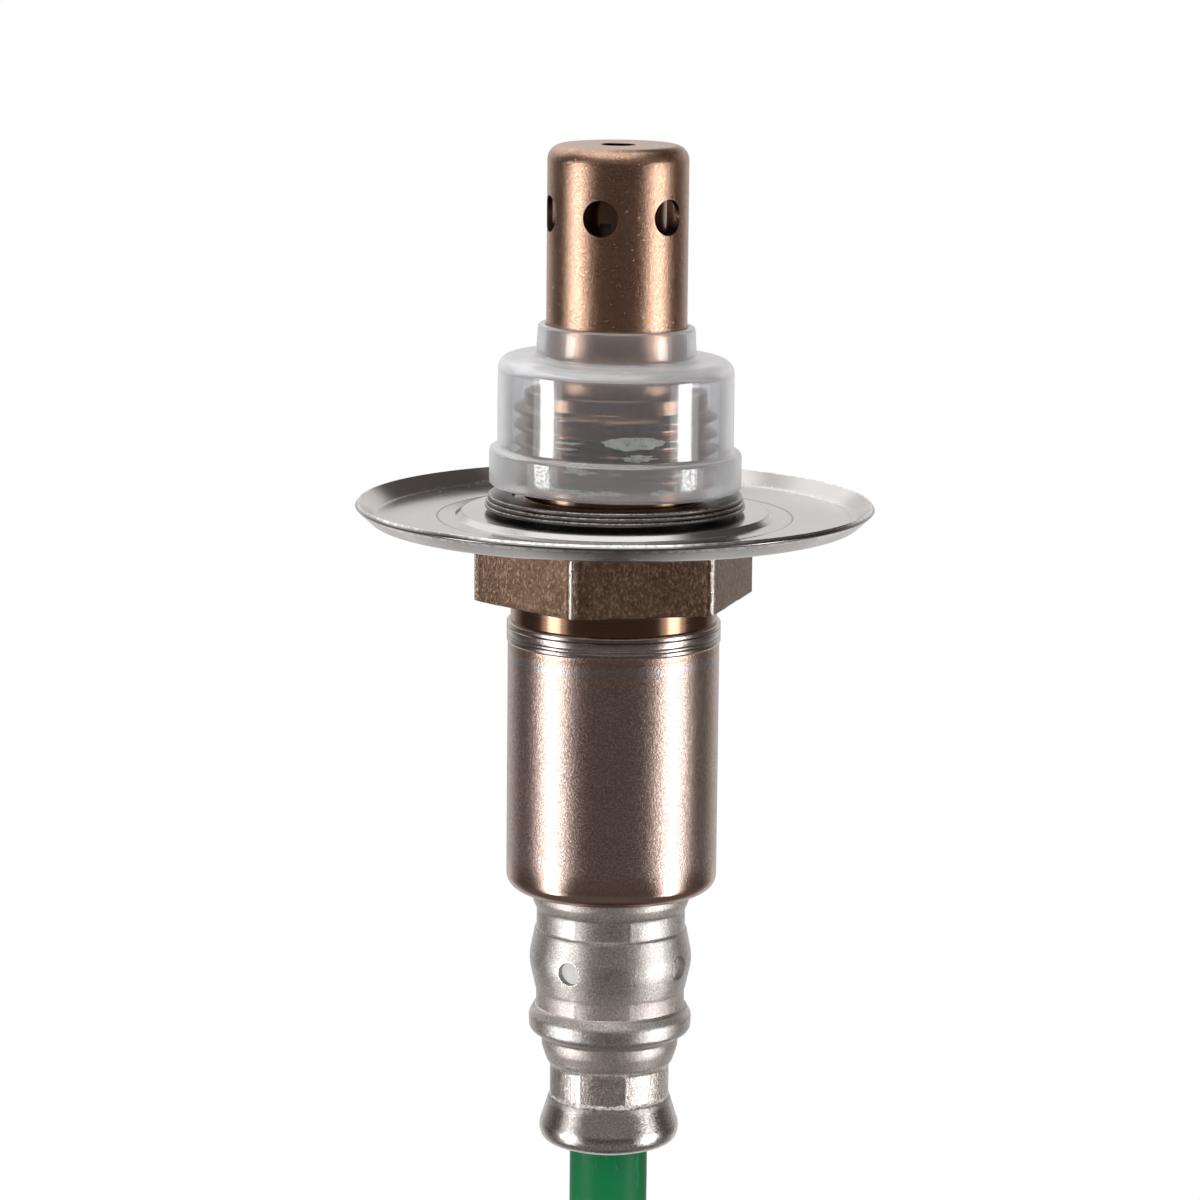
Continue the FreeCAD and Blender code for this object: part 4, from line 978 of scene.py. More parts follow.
def discMaterial():
    # Polished dished disc with a faint circular drawing grain and a few specks; thin dark rings at its
    # crease and step are painted shade, its outer edge is darker, and a speckled bright band on the rim's
    # top is a painted highlight.
    graph = Graph("polishedDisc")
    plan = discPlan
    radius = graph.radius()
    cloud = graph.noise(7.0, 2.0)
    rings = graph.node("TexNoise", {"noise_dimensions": "1D"}, {"W": radius, "Scale": 2.0, "Detail": 2.0})
    # Painted shade: thin dark rings at the crease and at the plate's step.
    line = graph.between(radius, plan["panRadius"] - 0.16, plan["panRadius"] + 0.02, 0.08)
    inner = graph.between(radius, plan["plateRadius"] - 0.1, plan["plateRadius"] + 0.1, 0.1)
    foot = graph.between(radius, plan["rimFoot"] - 0.25, plan["rimFoot"] + 0.25, 0.3)
    flecks = foot * graph.level(graph.noise(0.35, 4.0, roughness=0.7), 0.54, 0.62)
    edge = graph.above(radius, plan["rimRadius"] - 0.14, 0.05)
    rim = graph.above(radius, plan["rimRadius"] - 0.42, 0.06) * (1 - edge)
    # Painted highlight: speckled bright marks along the rim's top.
    rimSpeckGlints = rim * graph.level(graph.noise(0.5, 3.0), 0.46, 0.56)
    specks = graph.level(graph.noise(0.8, 2.0), 0.74, 0.78)
    colour = graph.painted(
        graph.mottled(cloud, plan["dark"], plan["light"]),
        (specks * 0.5, plan["speck"]),
        ((line * 0.85 + inner * 0.25 + edge * 0.6).clamped(), plan["line"]),
        ((flecks * 0.6 + rimSpeckGlints * 0.7).clamped(), plan["bright"]),
    )
    rough = plan["roughness"] + 0.06 * cloud + 0.2 * specks + 0.10 * flecks
    return graph.finish(colour=colour, metal=1.0, rough=rough, normal=graph.bump(rings, plan["relief"]))


def addDisc():
    plan = discPlan
    top = plan["top"]
    pan = top - plan["drop"]
    thick = plan["thickness"]
    slope = Vector((plan["rimRadius"] - plan["rimFoot"], plan["rimTop"] - pan)).normalized()
    across = Vector((slope.y, -slope.x)) * thick
    disc = turned("dishedDisc", [
        (plan["bore"], top),
        (plan["plateRadius"], top, 0.35),
        (plan["stepRadius"], pan + 0.03, 0.3),
        (plan["panRadius"] - 0.15, pan - 0.04, 0.12),
        (plan["panRadius"] + 0.25, pan, 0.2),
        (plan["rimFoot"], pan, 0.8),
        (plan["rimRadius"] - across.x, plan["rimTop"], 0.1),
        (plan["rimRadius"], plan["rimTop"] + across.y, 0.1),
        (plan["rimFoot"] + across.x * 0.6, pan - thick, 1.0),
        (plan["stepRadius"] - 0.1, pan - thick, 0.5),
        (plan["plateRadius"] - 0.15, top - thick, 0.5),
        (plan["bore"], top - thick),
    ], segments=256, arcSteps=8, longest=1.5)
    return addPiece(disc, discMaterial(), "disc_metal", "heat_shield")


# Shipping cap and the paste under it

capPlan = {
    "bottom": 0.75,
    "lipTop": 4.0,
    "lipRadius": 11.15,
    "footInside": 9.6,
    "footOutside": 10.45,
    "sideInside": 9.45,
    "sideOutside": 10.42,
    "shoulder": 12.15,
    "wall": 0.85,
    "neckInside": 6.28,
    "neckOutside": 7.1,
    "neckTopOutside": 6.92,
    "top": 15.0,
    "lean": 0.018,          # it sits a little askew, lower on the right
    "clear": (0.91, 0.93, 0.96),
    "milkDark": (0.89, 0.89, 0.90),
    "milkLight": (0.97, 0.968, 0.966),
    "index": 1.38,
    "coatIndex": 2.2,
    "coatRoughness": 0.11,
    "haze": 0.06,           # straight through the wall
    "edgeHaze": 0.52,       # along the wall
    "lipHaze": 0.07,
    # more milk on the shoulder, partly a painted reflection
    "shoulderHazeAndSheen": 0.20,
    "relief": 0.012,
}


def capMaterial():
    # Soft clear plastic, milky where the eye looks along its wall, with a grainy lip and a milkier shoulder;
    # the shoulder's milk is partly a painted reflection of the pale ceiling.
    graph = Graph("capPlastic")
    plan = capPlan
    cloud = graph.noise(2.5, 3.0)
    flow = graph.noise(1.2, 2.0, (1, 1, 0.3))
    lip = graph.below(graph.z, plan["lipTop"] - 0.1, 0.3)
    grain = graph.noise(0.22, 3.0, roughness=0.6)
    normal = graph.bump(flow * 0.6 + lip * grain * 0.6, plan["relief"])
    outside = graph.above(graph.radius(), plan["sideOutside"] - 0.4, 0.1)
    neck = graph.above(graph.z, plan["shoulder"] - 0.3, 0.1)
    neck = neck * graph.above(graph.radius(), plan["neckInside"] + 0.4, 0.1)
    coat = (outside + neck * 0.22).clamped() * (1 - lip * 0.7 * graph.level(grain, 0.44, 0.58))
    rough = 0.05 + 0.04 * flow + lip * (0.08 + 0.12 * grain)
    clear = graph.surface(colour=plan["clear"], rough=rough, through=1.0, index=plan["index"], coat=coat,
                          coatRough=plan["coatRoughness"], coatIndex=plan["coatIndex"], normal=normal)
    milk = graph.mottled(cloud, plan["milkDark"], plan["milkLight"])
    milky = graph.surface(colour=milk, rough=0.35, normal=normal)
    facing = graph.node("LayerWeight", inputs={"Blend": 0.5}, output="Facing")
    # The shoulder made milkier: milky plastic and partly a painted reflection.
    shoulder = graph.band(plan["shoulder"] - 0.9, plan["shoulder"] + 0.1, 0.4)
    haze = plan["haze"] + plan["edgeHaze"] * facing.math("POWER", 1.5)
    haze = (haze + plan["lipHaze"] * lip + plan["shoulderHazeAndSheen"] * shoulder).clamped()
    return graph.output(graph.mixed(haze, clear, milky))


def addCap():
    plan = capPlan
    cap = turned("shippingCap", [
        (plan["neckInside"], plan["top"], 0.1),
        (plan["neckTopOutside"], plan["top"], 0.25),
        (plan["neckOutside"], plan["shoulder"], 0.5),
        (plan["sideOutside"], plan["shoulder"], 1.15),
        (plan["footOutside"], plan["lipTop"], 0.35),
        (plan["lipRadius"], plan["lipTop"], 0.3),
        (plan["lipRadius"], plan["bottom"], 0.3),
        (plan["footInside"], plan["bottom"], 0.2),
        (plan["sideInside"], plan["shoulder"] - plan["wall"], 0.8),
        (plan["neckInside"] + 0.18, plan["shoulder"] - plan["wall"], 0.3),
    ], segments=160, arcSteps=6, longest=1.5)
    for vertex in cap.data.vertices:
        vertex.co.z -= plan["lean"] * vertex.co.x
    return addPiece(cap, capMaterial(), "cap_plastic", "protective_cap")


pastePlan = {
    "sides": 96,
    "rings": 5,
    "film": 0.06,
    "coarse": 2.3,          # of the ragged outline's two noises
    "fine": 5.0,
    "fineShare": 0.4,
    "shifts": (7.1, 5.3),   # so that no two smears are alike
    # middle turn, middle level, width, height, radius, raggedness
    "smears": [
        (9.5, 5.8, 5.3, 1.12, 9.12, 0.22),
        (12.0, 4.5, 2.7, 0.6, 9.12, 0.6),
        (-27.0, 5.7, 2.4, 0.22, 9.12, 0.9),
        (-28.0, 5.15, 2.2, 0.18, 9.12, 0.7),
        (-27.0, 1.6, 3.6, 0.42, 9.42, 1.0),
        (-9.0, 1.5, 4.4, 0.36, 9.42, 1.0),
        (-20.0, 3.4, 2.2, 0.8, 9.3, 0.9),
        (24.0, 1.5, 1.8, 0.5, 9.42, 0.6),
    ],
    "dark": (0.58, 0.61, 0.50),
    "light": (0.76, 0.79, 0.68),
    "relief": 0.02,
}


def pasteMaterial():
    # Pale assembly paste, smeared thin, and thinner low down.
    graph = Graph("threadPaste")
    plan = pastePlan
    cloud = graph.noise(0.8, 3.0)
    colour = graph.mottled(cloud, plan["dark"], plan["light"])
    thin = graph.level(graph.noise(0.5, 3.0), 0.30, 0.50)
    alpha = (0.25 + 0.35 * graph.above(graph.z, 3.9, 0.1)) + 0.4 * thin
    normal = graph.bump(cloud, plan["relief"])
    return graph.finish(colour=colour, rough=0.5 + 0.2 * cloud, alpha=alpha, normal=normal)


def addPaste():
    # Each smear is a ragged round sheet of rings, bent onto the thread's crests.
    plan = pastePlan
    coarseShift, fineShift = plan["shifts"]
    smears = []
    for index, (turn, level, width, height, radius, raggedness) in enumerate(plan["smears"]):
        deselectAll()
        bpy.ops.mesh.primitive_circle_add(vertices=plan["sides"], radius=1)
        smear = bpy.context.object
        with editing(smear):
            for ring in range(plan["rings"], 1, -1):
                bpy.ops.mesh.extrude_region_move()
                bpy.ops.transform.resize(value=[(ring - 1) / ring] * 3, center_override=(0, 0, 0))
            bpy.ops.mesh.edge_face_add()
        for vertex in smear.data.vertices:
            edge = vertex.co.normalized()
            coarse = noise.noise(edge * plan["coarse"] + Vector((index * coarseShift, 0, 0)))
            fine = noise.noise(edge * plan["fine"] + Vector((0, index * fineShift, 0)))
            ragged = 1 + raggedness * coarse + plan["fineShare"] * raggedness * fine
            across = vertex.co.x * ragged * width / 2
            up = vertex.co.y * ragged * height / 2
            vertex.co = pointAt(radius, turn + math.degrees(across / radius), level + up) * mm
        thicken(smear, plan["film"])
        smears.append(smear)
    paste = joined(smears)
    paste.name = paste.data.name = "threadPaste"
    cleanFaces(paste)
    smooth(paste, 60)
    return addPiece(paste, pasteMaterial(), "talc")


# Barrel

barrelPlan = {
    "radius": 9.415,
    "bore": 8.715,
    "top": -11.2,
    "collarRadius": 9.52,
    "collarBottom": -13.2,
    "grooves": [(-11.78, 0.07), (-12.42, 0.04), (-12.72, 0.04)],    # level and depth
    "bottom": -35.7,
    "bottomRound": 1.4,
    "wall": 0.7,
    "stemRadius": 5.36,
    "stemWall": 0.5,
    "stemBottom": -50.0,
    "throatRadius": 4.66,
    "throatTop": -51.3,
    "throatBottom": -57.6,
    "dark": (0.50, 0.365, 0.315),
    "light": (0.58, 0.425, 0.37),
    "sparkle": (0.74, 0.61, 0.56),
    "hollow": (0.26, 0.18, 0.15),
    "orangeTint": (0.46, 0.28, 0.18),
    "blueTint": (0.46, 0.47, 0.54),
    "collar": (0.50, 0.43, 0.40),
    "rolled": (0.80, 0.77, 0.74),
    # painted shade in the grooves
    "groove": (0.07, 0.05, 0.045),
    "foot": (0.46, 0.31, 0.25),
    "roughness": 0.23,
    "relief": 0.026,
}


def barrelMaterial():
    # Bead blasted sleeve, polished at its bottom rounding, with tint rings under the collar; the collar's
    # grooves are painted dark, a painted shade.
    graph = Graph("blastedBarrel")
    plan = barrelPlan
    under = plan["collarBottom"]
    blast = graph.noise(0.15, 3.0, roughness=0.65)
    cloud = graph.noise(4.0, 2.0)
    sparkle = graph.level(graph.noise(0.17, 3.0), 0.38, 0.64)
    collar = graph.above(graph.z, under + 0.1, 0.15)
    foot = graph.below(graph.z, plan["bottom"] + 2.2, 2.4)
    rolled = graph.level(graph.noise(0.30, 4.0, (1, 1, 1.6)), 0.45, 0.68)
    # Painted shade in the collar's grooves, darker for deeper grooves.
    grooves = [graph.band(level - 0.05, level + 0.05, 0.08) * depth * 11 for level, depth in plan["grooves"]]
    colour = graph.painted(
        graph.mottled(cloud, plan["dark"], plan["light"]),
        (sparkle * 0.6, plan["sparkle"]),
        ((1 - sparkle) * 0.3, plan["hollow"]),
        (graph.band(under - 0.65, under - 0.25, 0.3) * 0.5, plan["orangeTint"]),
        (graph.band(under - 1.5, under - 1.0, 0.6) * 0.55, plan["blueTint"]),
        (collar, plan["collar"]),
        (collar * rolled * 0.3, plan["rolled"]),
        *[(groove, plan["groove"]) for groove in grooves],
        (foot * 0.8, plan["foot"]),
    )
    rough = plan["roughness"] + 0.05 * blast - 0.10 * foot - 0.06 * collar
    relief = blast * (1 - 0.85 * foot) * (1 - 0.75 * collar) + collar * rolled * 0.08
    return graph.finish(colour=colour, metal=1.0, rough=rough, normal=graph.bump(relief, plan["relief"]))


def addBarrel():
    plan = barrelPlan
    collar = [(plan["collarRadius"], plan["top"], 0.30)]
    for level, depth in plan["grooves"]:
        collar.append((plan["collarRadius"], level + 0.10))
        collar.append((plan["collarRadius"] - depth, level))
        collar.append((plan["collarRadius"], level - 0.10))
    barrel = turned("barrelSleeve", [
        (plan["bore"], plan["top"], 0.1),
        *collar,
        (plan["collarRadius"], plan["collarBottom"] + 0.15, 0.05),
        (plan["radius"], plan["collarBottom"], 0.05),
        (plan["radius"], plan["bottom"], plan["bottomRound"]),
        (plan["stemRadius"], plan["bottom"], 0.3),
        (plan["stemRadius"], plan["stemBottom"], 0.3),
        (plan["throatRadius"], plan["throatTop"], 0.3),
        (plan["throatRadius"], plan["throatBottom"]),
        (plan["throatRadius"] - plan["stemWall"], plan["throatBottom"]),
        (plan["throatRadius"] - plan["stemWall"], plan["throatTop"]),
        (plan["stemRadius"] - plan["stemWall"], plan["stemBottom"]),
        (plan["stemRadius"] - plan["stemWall"], plan["bottom"] + plan["wall"]),
        (plan["bore"], plan["bottom"] + plan["wall"], 0.8),
    ], segments=192, arcSteps=8)
    drillRing(barrel, ventPlan, plan["stemRadius"])  # its holes lie behind the vent sleeve's
    smooth(barrel, 30)
    return addPiece(barrel, barrelMaterial(), "barrel_metal", "barrel_cover")


# Crimped vent sleeve

ventPlan = {
    "wall": 0.5,
    "top": -35.7,
    "topRadius": 7.12,
    "waist": 6.78,
    "pressed": 6.66,
    "flatness": 0.05,       # 0 leaves the jaws' bands round, 1 makes them flat
    "bulge": 7.24,
    "bead": 7.16,
    "sleeve": 6.1,
    "sleeveEnd": -50.2,
    "endCorner": 5.64,
    "endPressed": 5.36,
    "endFlatness": 0.22,
    "flare": 6.23,
    "flareLevel": -57.9,
    "bottom": -59.4,
    "mouth": 3.9,
    "crimps": [(-37.5, -39.3), (-45.0, -46.5), (-51.8, -54.9)],
    "jawTurn": 15.6,
    "jaws": 8,
    "ridge": 0.04,
    "ridgeWidth": 1.3,      # degrees
    "holeRadius": 1.05,
    "holeLevel": -42.3,
    "holeTurn": -31.3,
    "holeCount": 4,
    "innerWall": 0.3,       # more than this inside the pressed radius is the inner wall
    "upperFade": 0.6,       # the jaws' upper ends are soft, the lower ones crisp
    "lowerFade": 0.16,
    "rimWidth": 0.13,
    "dark": (0.73, 0.695, 0.655),
    "light": (0.83, 0.795, 0.755),
    "speck": (0.93, 0.905, 0.875),
    "hollow": (0.22, 0.18, 0.155),
    # brown on the scratched flats, partly a painted reflection
    "scraped": (0.44, 0.32, 0.25),
    # painted highlights
    "bright": (0.97, 0.95, 0.92),
    # painted shade
    "shade": (0.30, 0.27, 0.25),
    # painted shade in the creases
    "line": (0.12, 0.105, 0.10),
    # painted reflection in warm bands
    "film": (0.68, 0.52, 0.44),
    # painted highlight round the holes
    "holeRim": (0.97, 0.94, 0.90),
    "holeShade": (0.035, 0.025, 0.020),
    "roughness": 0.29,
    "relief": 0.038,
}


def ventMaterial():
    # Satin sleeve with a sandy grain; the last jaws left scratched flats. Painted light: bright ragged edges
    # on the end flats and bright jaw joins, painted highlights; dark creases, a dark band above the flare
    # and dark hole walls, painted shade; warm bands and some of the flats' brown, painted reflections.
    graph = Graph("satinVent")
    plan = ventPlan
    grain = graph.noise(0.17, 3.0, roughness=0.7)
    speck = graph.level(graph.noise(0.15, 3.0), 0.36, 0.66)
    cloud = graph.noise(3.0, 2.0)
    (topA, bottomA), (topB, bottomB), (topC, bottomC) = plan["crimps"]
    upperJaws = graph.band(bottomA, topA, 0.2) + graph.band(bottomB, topB, 0.2)
    jaws = upperJaws + graph.band(bottomC, topC, 0.2)
    ragged = 0.9 * graph.noise(0.4, 4.0, roughness=0.7) - 0.2
    drag = graph.noise(0.20, 5.0, (1, 1, 0.35), roughness=0.75)
    scraped = graph.level(drag, 0.44, 0.58)
    endBand = graph.band(bottomC - 0.2 + ragged, topC - 0.2 + ragged, 0.1)
    # Painted highlights: ragged bright edges on the end flats, paler and less metallic so they read white.
    crimpEdgeGlints = graph.band(topC - 0.36 + ragged, topC - 0.06 + ragged, 0.12)
    crimpEdgeGlints = (crimpEdgeGlints + graph.band(bottomC - 0.30 + ragged, bottomC - 0.04 + ragged, 0.12)) * scraped
    # Painted highlight where two jaws meet.
    seamGlint = jaws * graph.below(graph.toCorner(plan["jaws"], plan["jawTurn"]), 0.012 + 0.012 * drag, 0.012)
    # Painted shade: dark creases at the edges of the first two crimps.
    creaseShades = sum(
        graph.band(bottom - 0.14, bottom - 0.02, 0.08) + 0.4 * graph.band(top - 0.02, top + 0.10, 0.08)
        for top, bottom in plan["crimps"][:2]
    )
    # Painted shade: a dark band above the flare, for the dark room that the downward-facing metal mirrors.
    shade = graph.band(bottomC - 2.6, bottomC - 0.3, 1.0)
    # Painted shade: dark notches under the end flats' lower edge.
    under = graph.band(bottomC - 0.44 + ragged, bottomC - 0.32 + ragged, 0.1) * graph.level(drag, 0.40, 0.50)
    # Painted reflection: warm bands, less metallic and rougher, that stand for the pinkish room seen in the
    # metal.
    film = graph.band(bottomB - 0.1, topB + 0.8, 0.9) + graph.band(topC + 0.4, bottomB - 2.6, 0.9)
    film = film + graph.band(topA + 0.3, plan["top"] + 1, 0.9)
    film = film * (0.6 + 0.4 * graph.level(cloud, 0.35, 0.65))
    rim, wall = graph.holeRim(plan)
    flare = graph.below(graph.z, bottomC - 0.5, 0.6)
    colour = graph.painted(
        graph.mottled(cloud, plan["dark"], plan["light"]),
        (speck * 0.7, plan["speck"]),
        ((1 - speck) * 0.46, plan["hollow"]),
        # The end flats' scratches are brown: scratches, and partly a painted reflection of the dark room.
        (endBand * 0.6 * scraped, plan["scraped"]),
        ((seamGlint * 0.5 + crimpEdgeGlints).clamped(), plan["bright"]),
        (shade * 0.35, plan["shade"]),
        ((creaseShades * 0.35 + under * 0.9).clamped(), plan["line"]),
        (film * 0.22, plan["film"]),
        # Painted highlight round the holes and painted shade on their walls.
        (rim * 0.65, plan["holeRim"]),
        (wall * 0.9, plan["holeShade"]),
    )
    rough = plan["roughness"] + 0.10 * grain + 0.04 * upperJaws - 0.12 * endBand - 0.14 * rim
    rough = rough - 0.06 * crimpEdgeGlints - 0.12 * flare + 0.08 * film
    relief = grain * (1 - 0.6 * endBand) * (1 - 0.5 * flare) + endBand * drag * 0.9 + crimpEdgeGlints * ragged * 2
    metal = (1 - 0.08 * film - 0.12 * endBand - 0.4 * crimpEdgeGlints).clamped()
    return graph.finish(colour=colour, metal=metal, rough=rough, normal=graph.bump(relief, plan["relief"]))


def pressJaws(piece):
    # Eight jaws press three bands, and leave a low ridge where two of them meet.
    plan = ventPlan
    sector = 360 / plan["jaws"]
    for vertex in piece.data.vertices:
        level = vertex.co.z / mm
        radius = math.hypot(vertex.co.x, vertex.co.y) / mm
        for index, (top, bottom) in enumerate(plan["crimps"]):
            last = index == len(plan["crimps"]) - 1
            base = plan["endPressed"] if last else plan["pressed"]
            flatness = plan["endFlatness"] if last else plan["flatness"]
            if radius < base - plan["innerWall"]:
                continue
            away = (turnOf(vertex.co) - plan["jawTurn"] + sector) % sector - sector / 2
            pressed = base * (1 + flatness * (1 / math.cos(math.radians(away)) - 1))
            pressed += plan["ridge"] * max(0, 1 - (sector / 2 - abs(away)) / plan["ridgeWidth"])
            upper = min(max((top + plan["upperFade"] / 2 - level) / plan["upperFade"], 0), 1)
            upper = upper * upper * (3 - 2 * upper)
            lower = min(max((level - bottom + plan["lowerFade"] / 2) / plan["lowerFade"], 0), 1)
            widen(vertex, 1 + (min(pressed, radius) / radius - 1) * upper * lower)


def addVentCover():
    plan = ventPlan
    wall = plan["wall"]
    (topA, bottomA), (topB, bottomB), (topC, bottomC) = plan["crimps"]
    middle = (bottomA + topB) / 2
    outer = [
        (plan["topRadius"], plan["top"]),
        (plan["topRadius"] - 0.02, topA + 0.95, 0.8),
        (plan["waist"] - 0.04, topA, 0.8),
        (plan["waist"] - 0.02, bottomA + 0.2, 1.0),
        (plan["bulge"] + 0.12, middle, 4.2),
        (plan["waist"] - 0.06, topB, 1.0),
        (plan["waist"], bottomB + 0.15, 0.5),
        (plan["bead"] + 0.16, bottomB - 0.85, 0.9),
        (plan["bead"] + 0.10, bottomB - 2.2, 0.8),
        (plan["sleeve"] + 0.02, bottomB - 2.85, 0.3),
        (plan["sleeve"] + 0.05, plan["sleeveEnd"], 2.0),
        (plan["endCorner"], topC + 0.1, 1.2),
        (plan["endPressed"] + 0.10, bottomC - 0.05, 0.2),
        (plan["flare"] + 0.10, plan["flareLevel"] + 0.2, 1.6),
        (plan["flare"] - 0.15, plan["bottom"] + 0.5, 1.1),
        (plan["flare"] - 1.6, plan["bottom"], 0.9),
        (plan["mouth"], plan["bottom"], 0.2),
    ]
    inner = [
        (plan["mouth"], plan["bottom"] + wall, 0.1),
        (plan["flare"] - 1.4, plan["bottom"] + wall, 0.8),
        (plan["flare"] - wall, plan["flareLevel"] + 0.2, 0.8),
        (plan["endPressed"] - wall, bottomC),
        (plan["endPressed"] - wall, topC),
        (plan["sleeve"] - wall, plan["sleeveEnd"] - 0.1),
        (plan["sleeve"] - wall, bottomB - 2.9),
        (plan["bead"] - wall, bottomB - 2.1),
        (plan["bead"] - wall, bottomB - 0.9),
        (plan["pressed"] - wall, bottomB),
        (plan["pressed"] - wall, topB),
        (plan["bulge"] - wall - 0.05, middle, 3.0),
        (plan["pressed"] - wall, bottomA),
        (plan["pressed"] - wall, topA),
        (plan["topRadius"] - wall, plan["top"]),
    ]
    sleeve = turned("ventSleeve", outer + inner, segments=216, arcSteps=8, longest=0.16)
    pressJaws(sleeve)
    drillRing(sleeve, plan, plan["bulge"])
    smooth(sleeve, 40)
    return addPiece(sleeve, ventMaterial(), "vent_metal", "vent_cover")


addTip()
print("tip made")
addHousing()
print("housing made")
addGasket()
addDisc()
print("gasket and disc made")
addCap()
addPaste()
print("cap and paste made")
addBarrel()
addVentCover()
print("barrel and vent sleeve made")


# Pieces kept from the frame, with their own finishes

def plainMaterial(name, dark, light, rough, grain=0.4, relief=0.01, metal=0.0, glow=0.0):
    # A finely grained surface with faint clouds in its colour.
    graph = Graph(name)
    cloud = graph.noise(grain * 8, 2.0)
    colour = graph.mottled(cloud, dark, light)
    normal = graph.bump(graph.noise(grain, 3.0), relief)
    return graph.finish(colour=colour, metal=metal, rough=rough + 0.1 * cloud, normal=normal, glow=glow)


plainPlans = {
    # dark colour, light colour, roughness, and where they differ grain, relief, metal and glow
    "coating": ((0.045, 0.035, 0.030), (0.07, 0.055, 0.048), 0.75, 0.2, 0.02),
    "ceramic": ((0.74, 0.72, 0.68), (0.84, 0.82, 0.78), 0.5, 0.2),
    "talc": ((0.55, 0.55, 0.51), (0.66, 0.66, 0.62), 0.85, 0.3, 0.04),
    "ringSteel": ((0.48, 0.46, 0.44), (0.58, 0.56, 0.53), 0.3, 0.3, 0.01, 1.0),
    "innerTube": ((0.26, 0.17, 0.12), (0.38, 0.26, 0.19), 0.18, 0.3, 0.006, 1.0),
    "terminal": ((0.62, 0.58, 0.50), (0.72, 0.68, 0.60), 0.28, 0.2, 0.005, 1.0),
    "leadSkin": ((0.66, 0.66, 0.66), (0.76, 0.76, 0.75), 0.55, 0.3),
    # the filter glows a little: painted light that brightens it in the vent holes
    "filter": ((0.82, 0.82, 0.81), (0.92, 0.92, 0.91), 0.8, 0.12, 0.03, 0.0, 0.3),
    "plug": ((0.03, 0.03, 0.033), (0.05, 0.05, 0.052), 0.6, 0.3),
    "boot": ((0.018, 0.018, 0.02), (0.03, 0.03, 0.032), 0.55, 0.3, 0.015),
    "connector": ((0.035, 0.037, 0.040), (0.05, 0.052, 0.055), 0.36, 0.15, 0.012),
    "lock": ((0.42, 0.10, 0.05), (0.50, 0.13, 0.07), 0.4, 0.3),
    "seal": ((0.10, 0.22, 0.32), (0.14, 0.28, 0.38), 0.5, 0.3),
}

nodeFinishes = {
    "coating": ["sensing_element"],
    "ceramic": ["heater_rod", "insulator_sleeve", "separator"],
    "talc": ["powder_seal"],
    "ringSteel": ["packing_ring", "crimp_ring", "separator_spring"],
    "innerTube": ["inner_protector"],
    "terminal": [
        "outer_terminal", "inner_terminal", "heater_terminal_a", "heater_terminal_b", "connector_pins",
    ],
    "leadSkin": ["lead_wire_1", "lead_wire_2", "lead_wire_3", "lead_wire_4", "connector_leads"],
    "filter": ["vent_filter"],
    "plug": ["grommet"],
    "boot": ["connector_boot"],
    "connector": ["connector_housing"],
    "lock": ["connector_lock"],
    "seal": ["connector_seals"],
}

smoothed = {
    # node: material slot and the rounding of its edges
    "inner_protector": ("steel_body", 0),
    "vent_filter": ("filter_white", 0),
    "grommet": ("rubber_plug", 0),
    "connector_boot": ("boot_black", 0.25),
    "connector_housing": ("connector_grey", 0.25),
    "connector_lock": ("lock_plastic", 0.15),
    "connector_seals": ("seal_rubber", 0),
    "connector_pins": ("terminal_metal", 0),
    "connector_leads": ("lead_insulation", 0),
}


def smoothCopy(name, material, slot, edge):
    # The same form with its faces joined, its curves smooth and its edges slightly rounded.
    deselectAll()
    words = (name if "_" in name else name + "_plug").split("_")
    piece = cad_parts[name].copy()
    piece.data = piece.data.copy()
    bpy.context.scene.collection.objects.link(piece)
    piece.name = piece.data.name = words[0] + "".join(word.capitalize() for word in words[1:])
    cleanFaces(piece, outward=False)
    with editing(piece):
        bpy.ops.mesh.dissolve_limited(angle_limit=math.radians(1))
    if edge:
        roundEdges(piece, edge)
    smooth(piece, 35)
    return addPiece(piece, material, slot, name)


for finish, names in nodeFinishes.items():
    material = plainMaterial(finish, *plainPlans[finish])
    for name in names:
        if name in smoothed:
            copied = smoothCopy(name, material, *smoothed[name])
            continue
        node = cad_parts[name]
        node.data.materials.clear()
        node.data.materials.append(material)
print("finishes set")


# Studio

studio = {
    "floorGap": 1.0,        # below the lowest point
    "floorRadius": 600.0,
    "stripTurn": 70.0,      # degrees from the camera, left and right
    "stripDistance": 700.0,
    "stripWidth": 190.0,
    "stripHeight": 570.0,
    "stripLevel": -225.0,
    "stripPower": 1.84,     # watts
    "glowWidth": 420.0,     # a dimmer spread of light round each strip
    "glowPower": 0.70,
    "rearTurn": 150.0,
    "rearWidth": 160.0,
    "rearPower": 0.05,
    "fillWidth": 900.0,     # a soft light from straight in front, not seen in the metal
    "fillPower": 3.0,
    "fillLevel": 250.0,
    "dim": (0.080, 0.066, 0.060),   # the dark room, seen in the metal
    "low": 0.10,            # more light from low in front
    "high": 0.22,           # and from high in front
    "overhead": 1.3,        # a pale ceiling above, a little to the left
    "backdrop": 0.72,       # the pale wall behind, seen in the metal
    "upperLeft": 1.2,       # higher up, the wall is lit on the left
    "upperRight": 0.02,
    "table": 0.60,          # the pale table beyond the object, seen in faces that look down
}


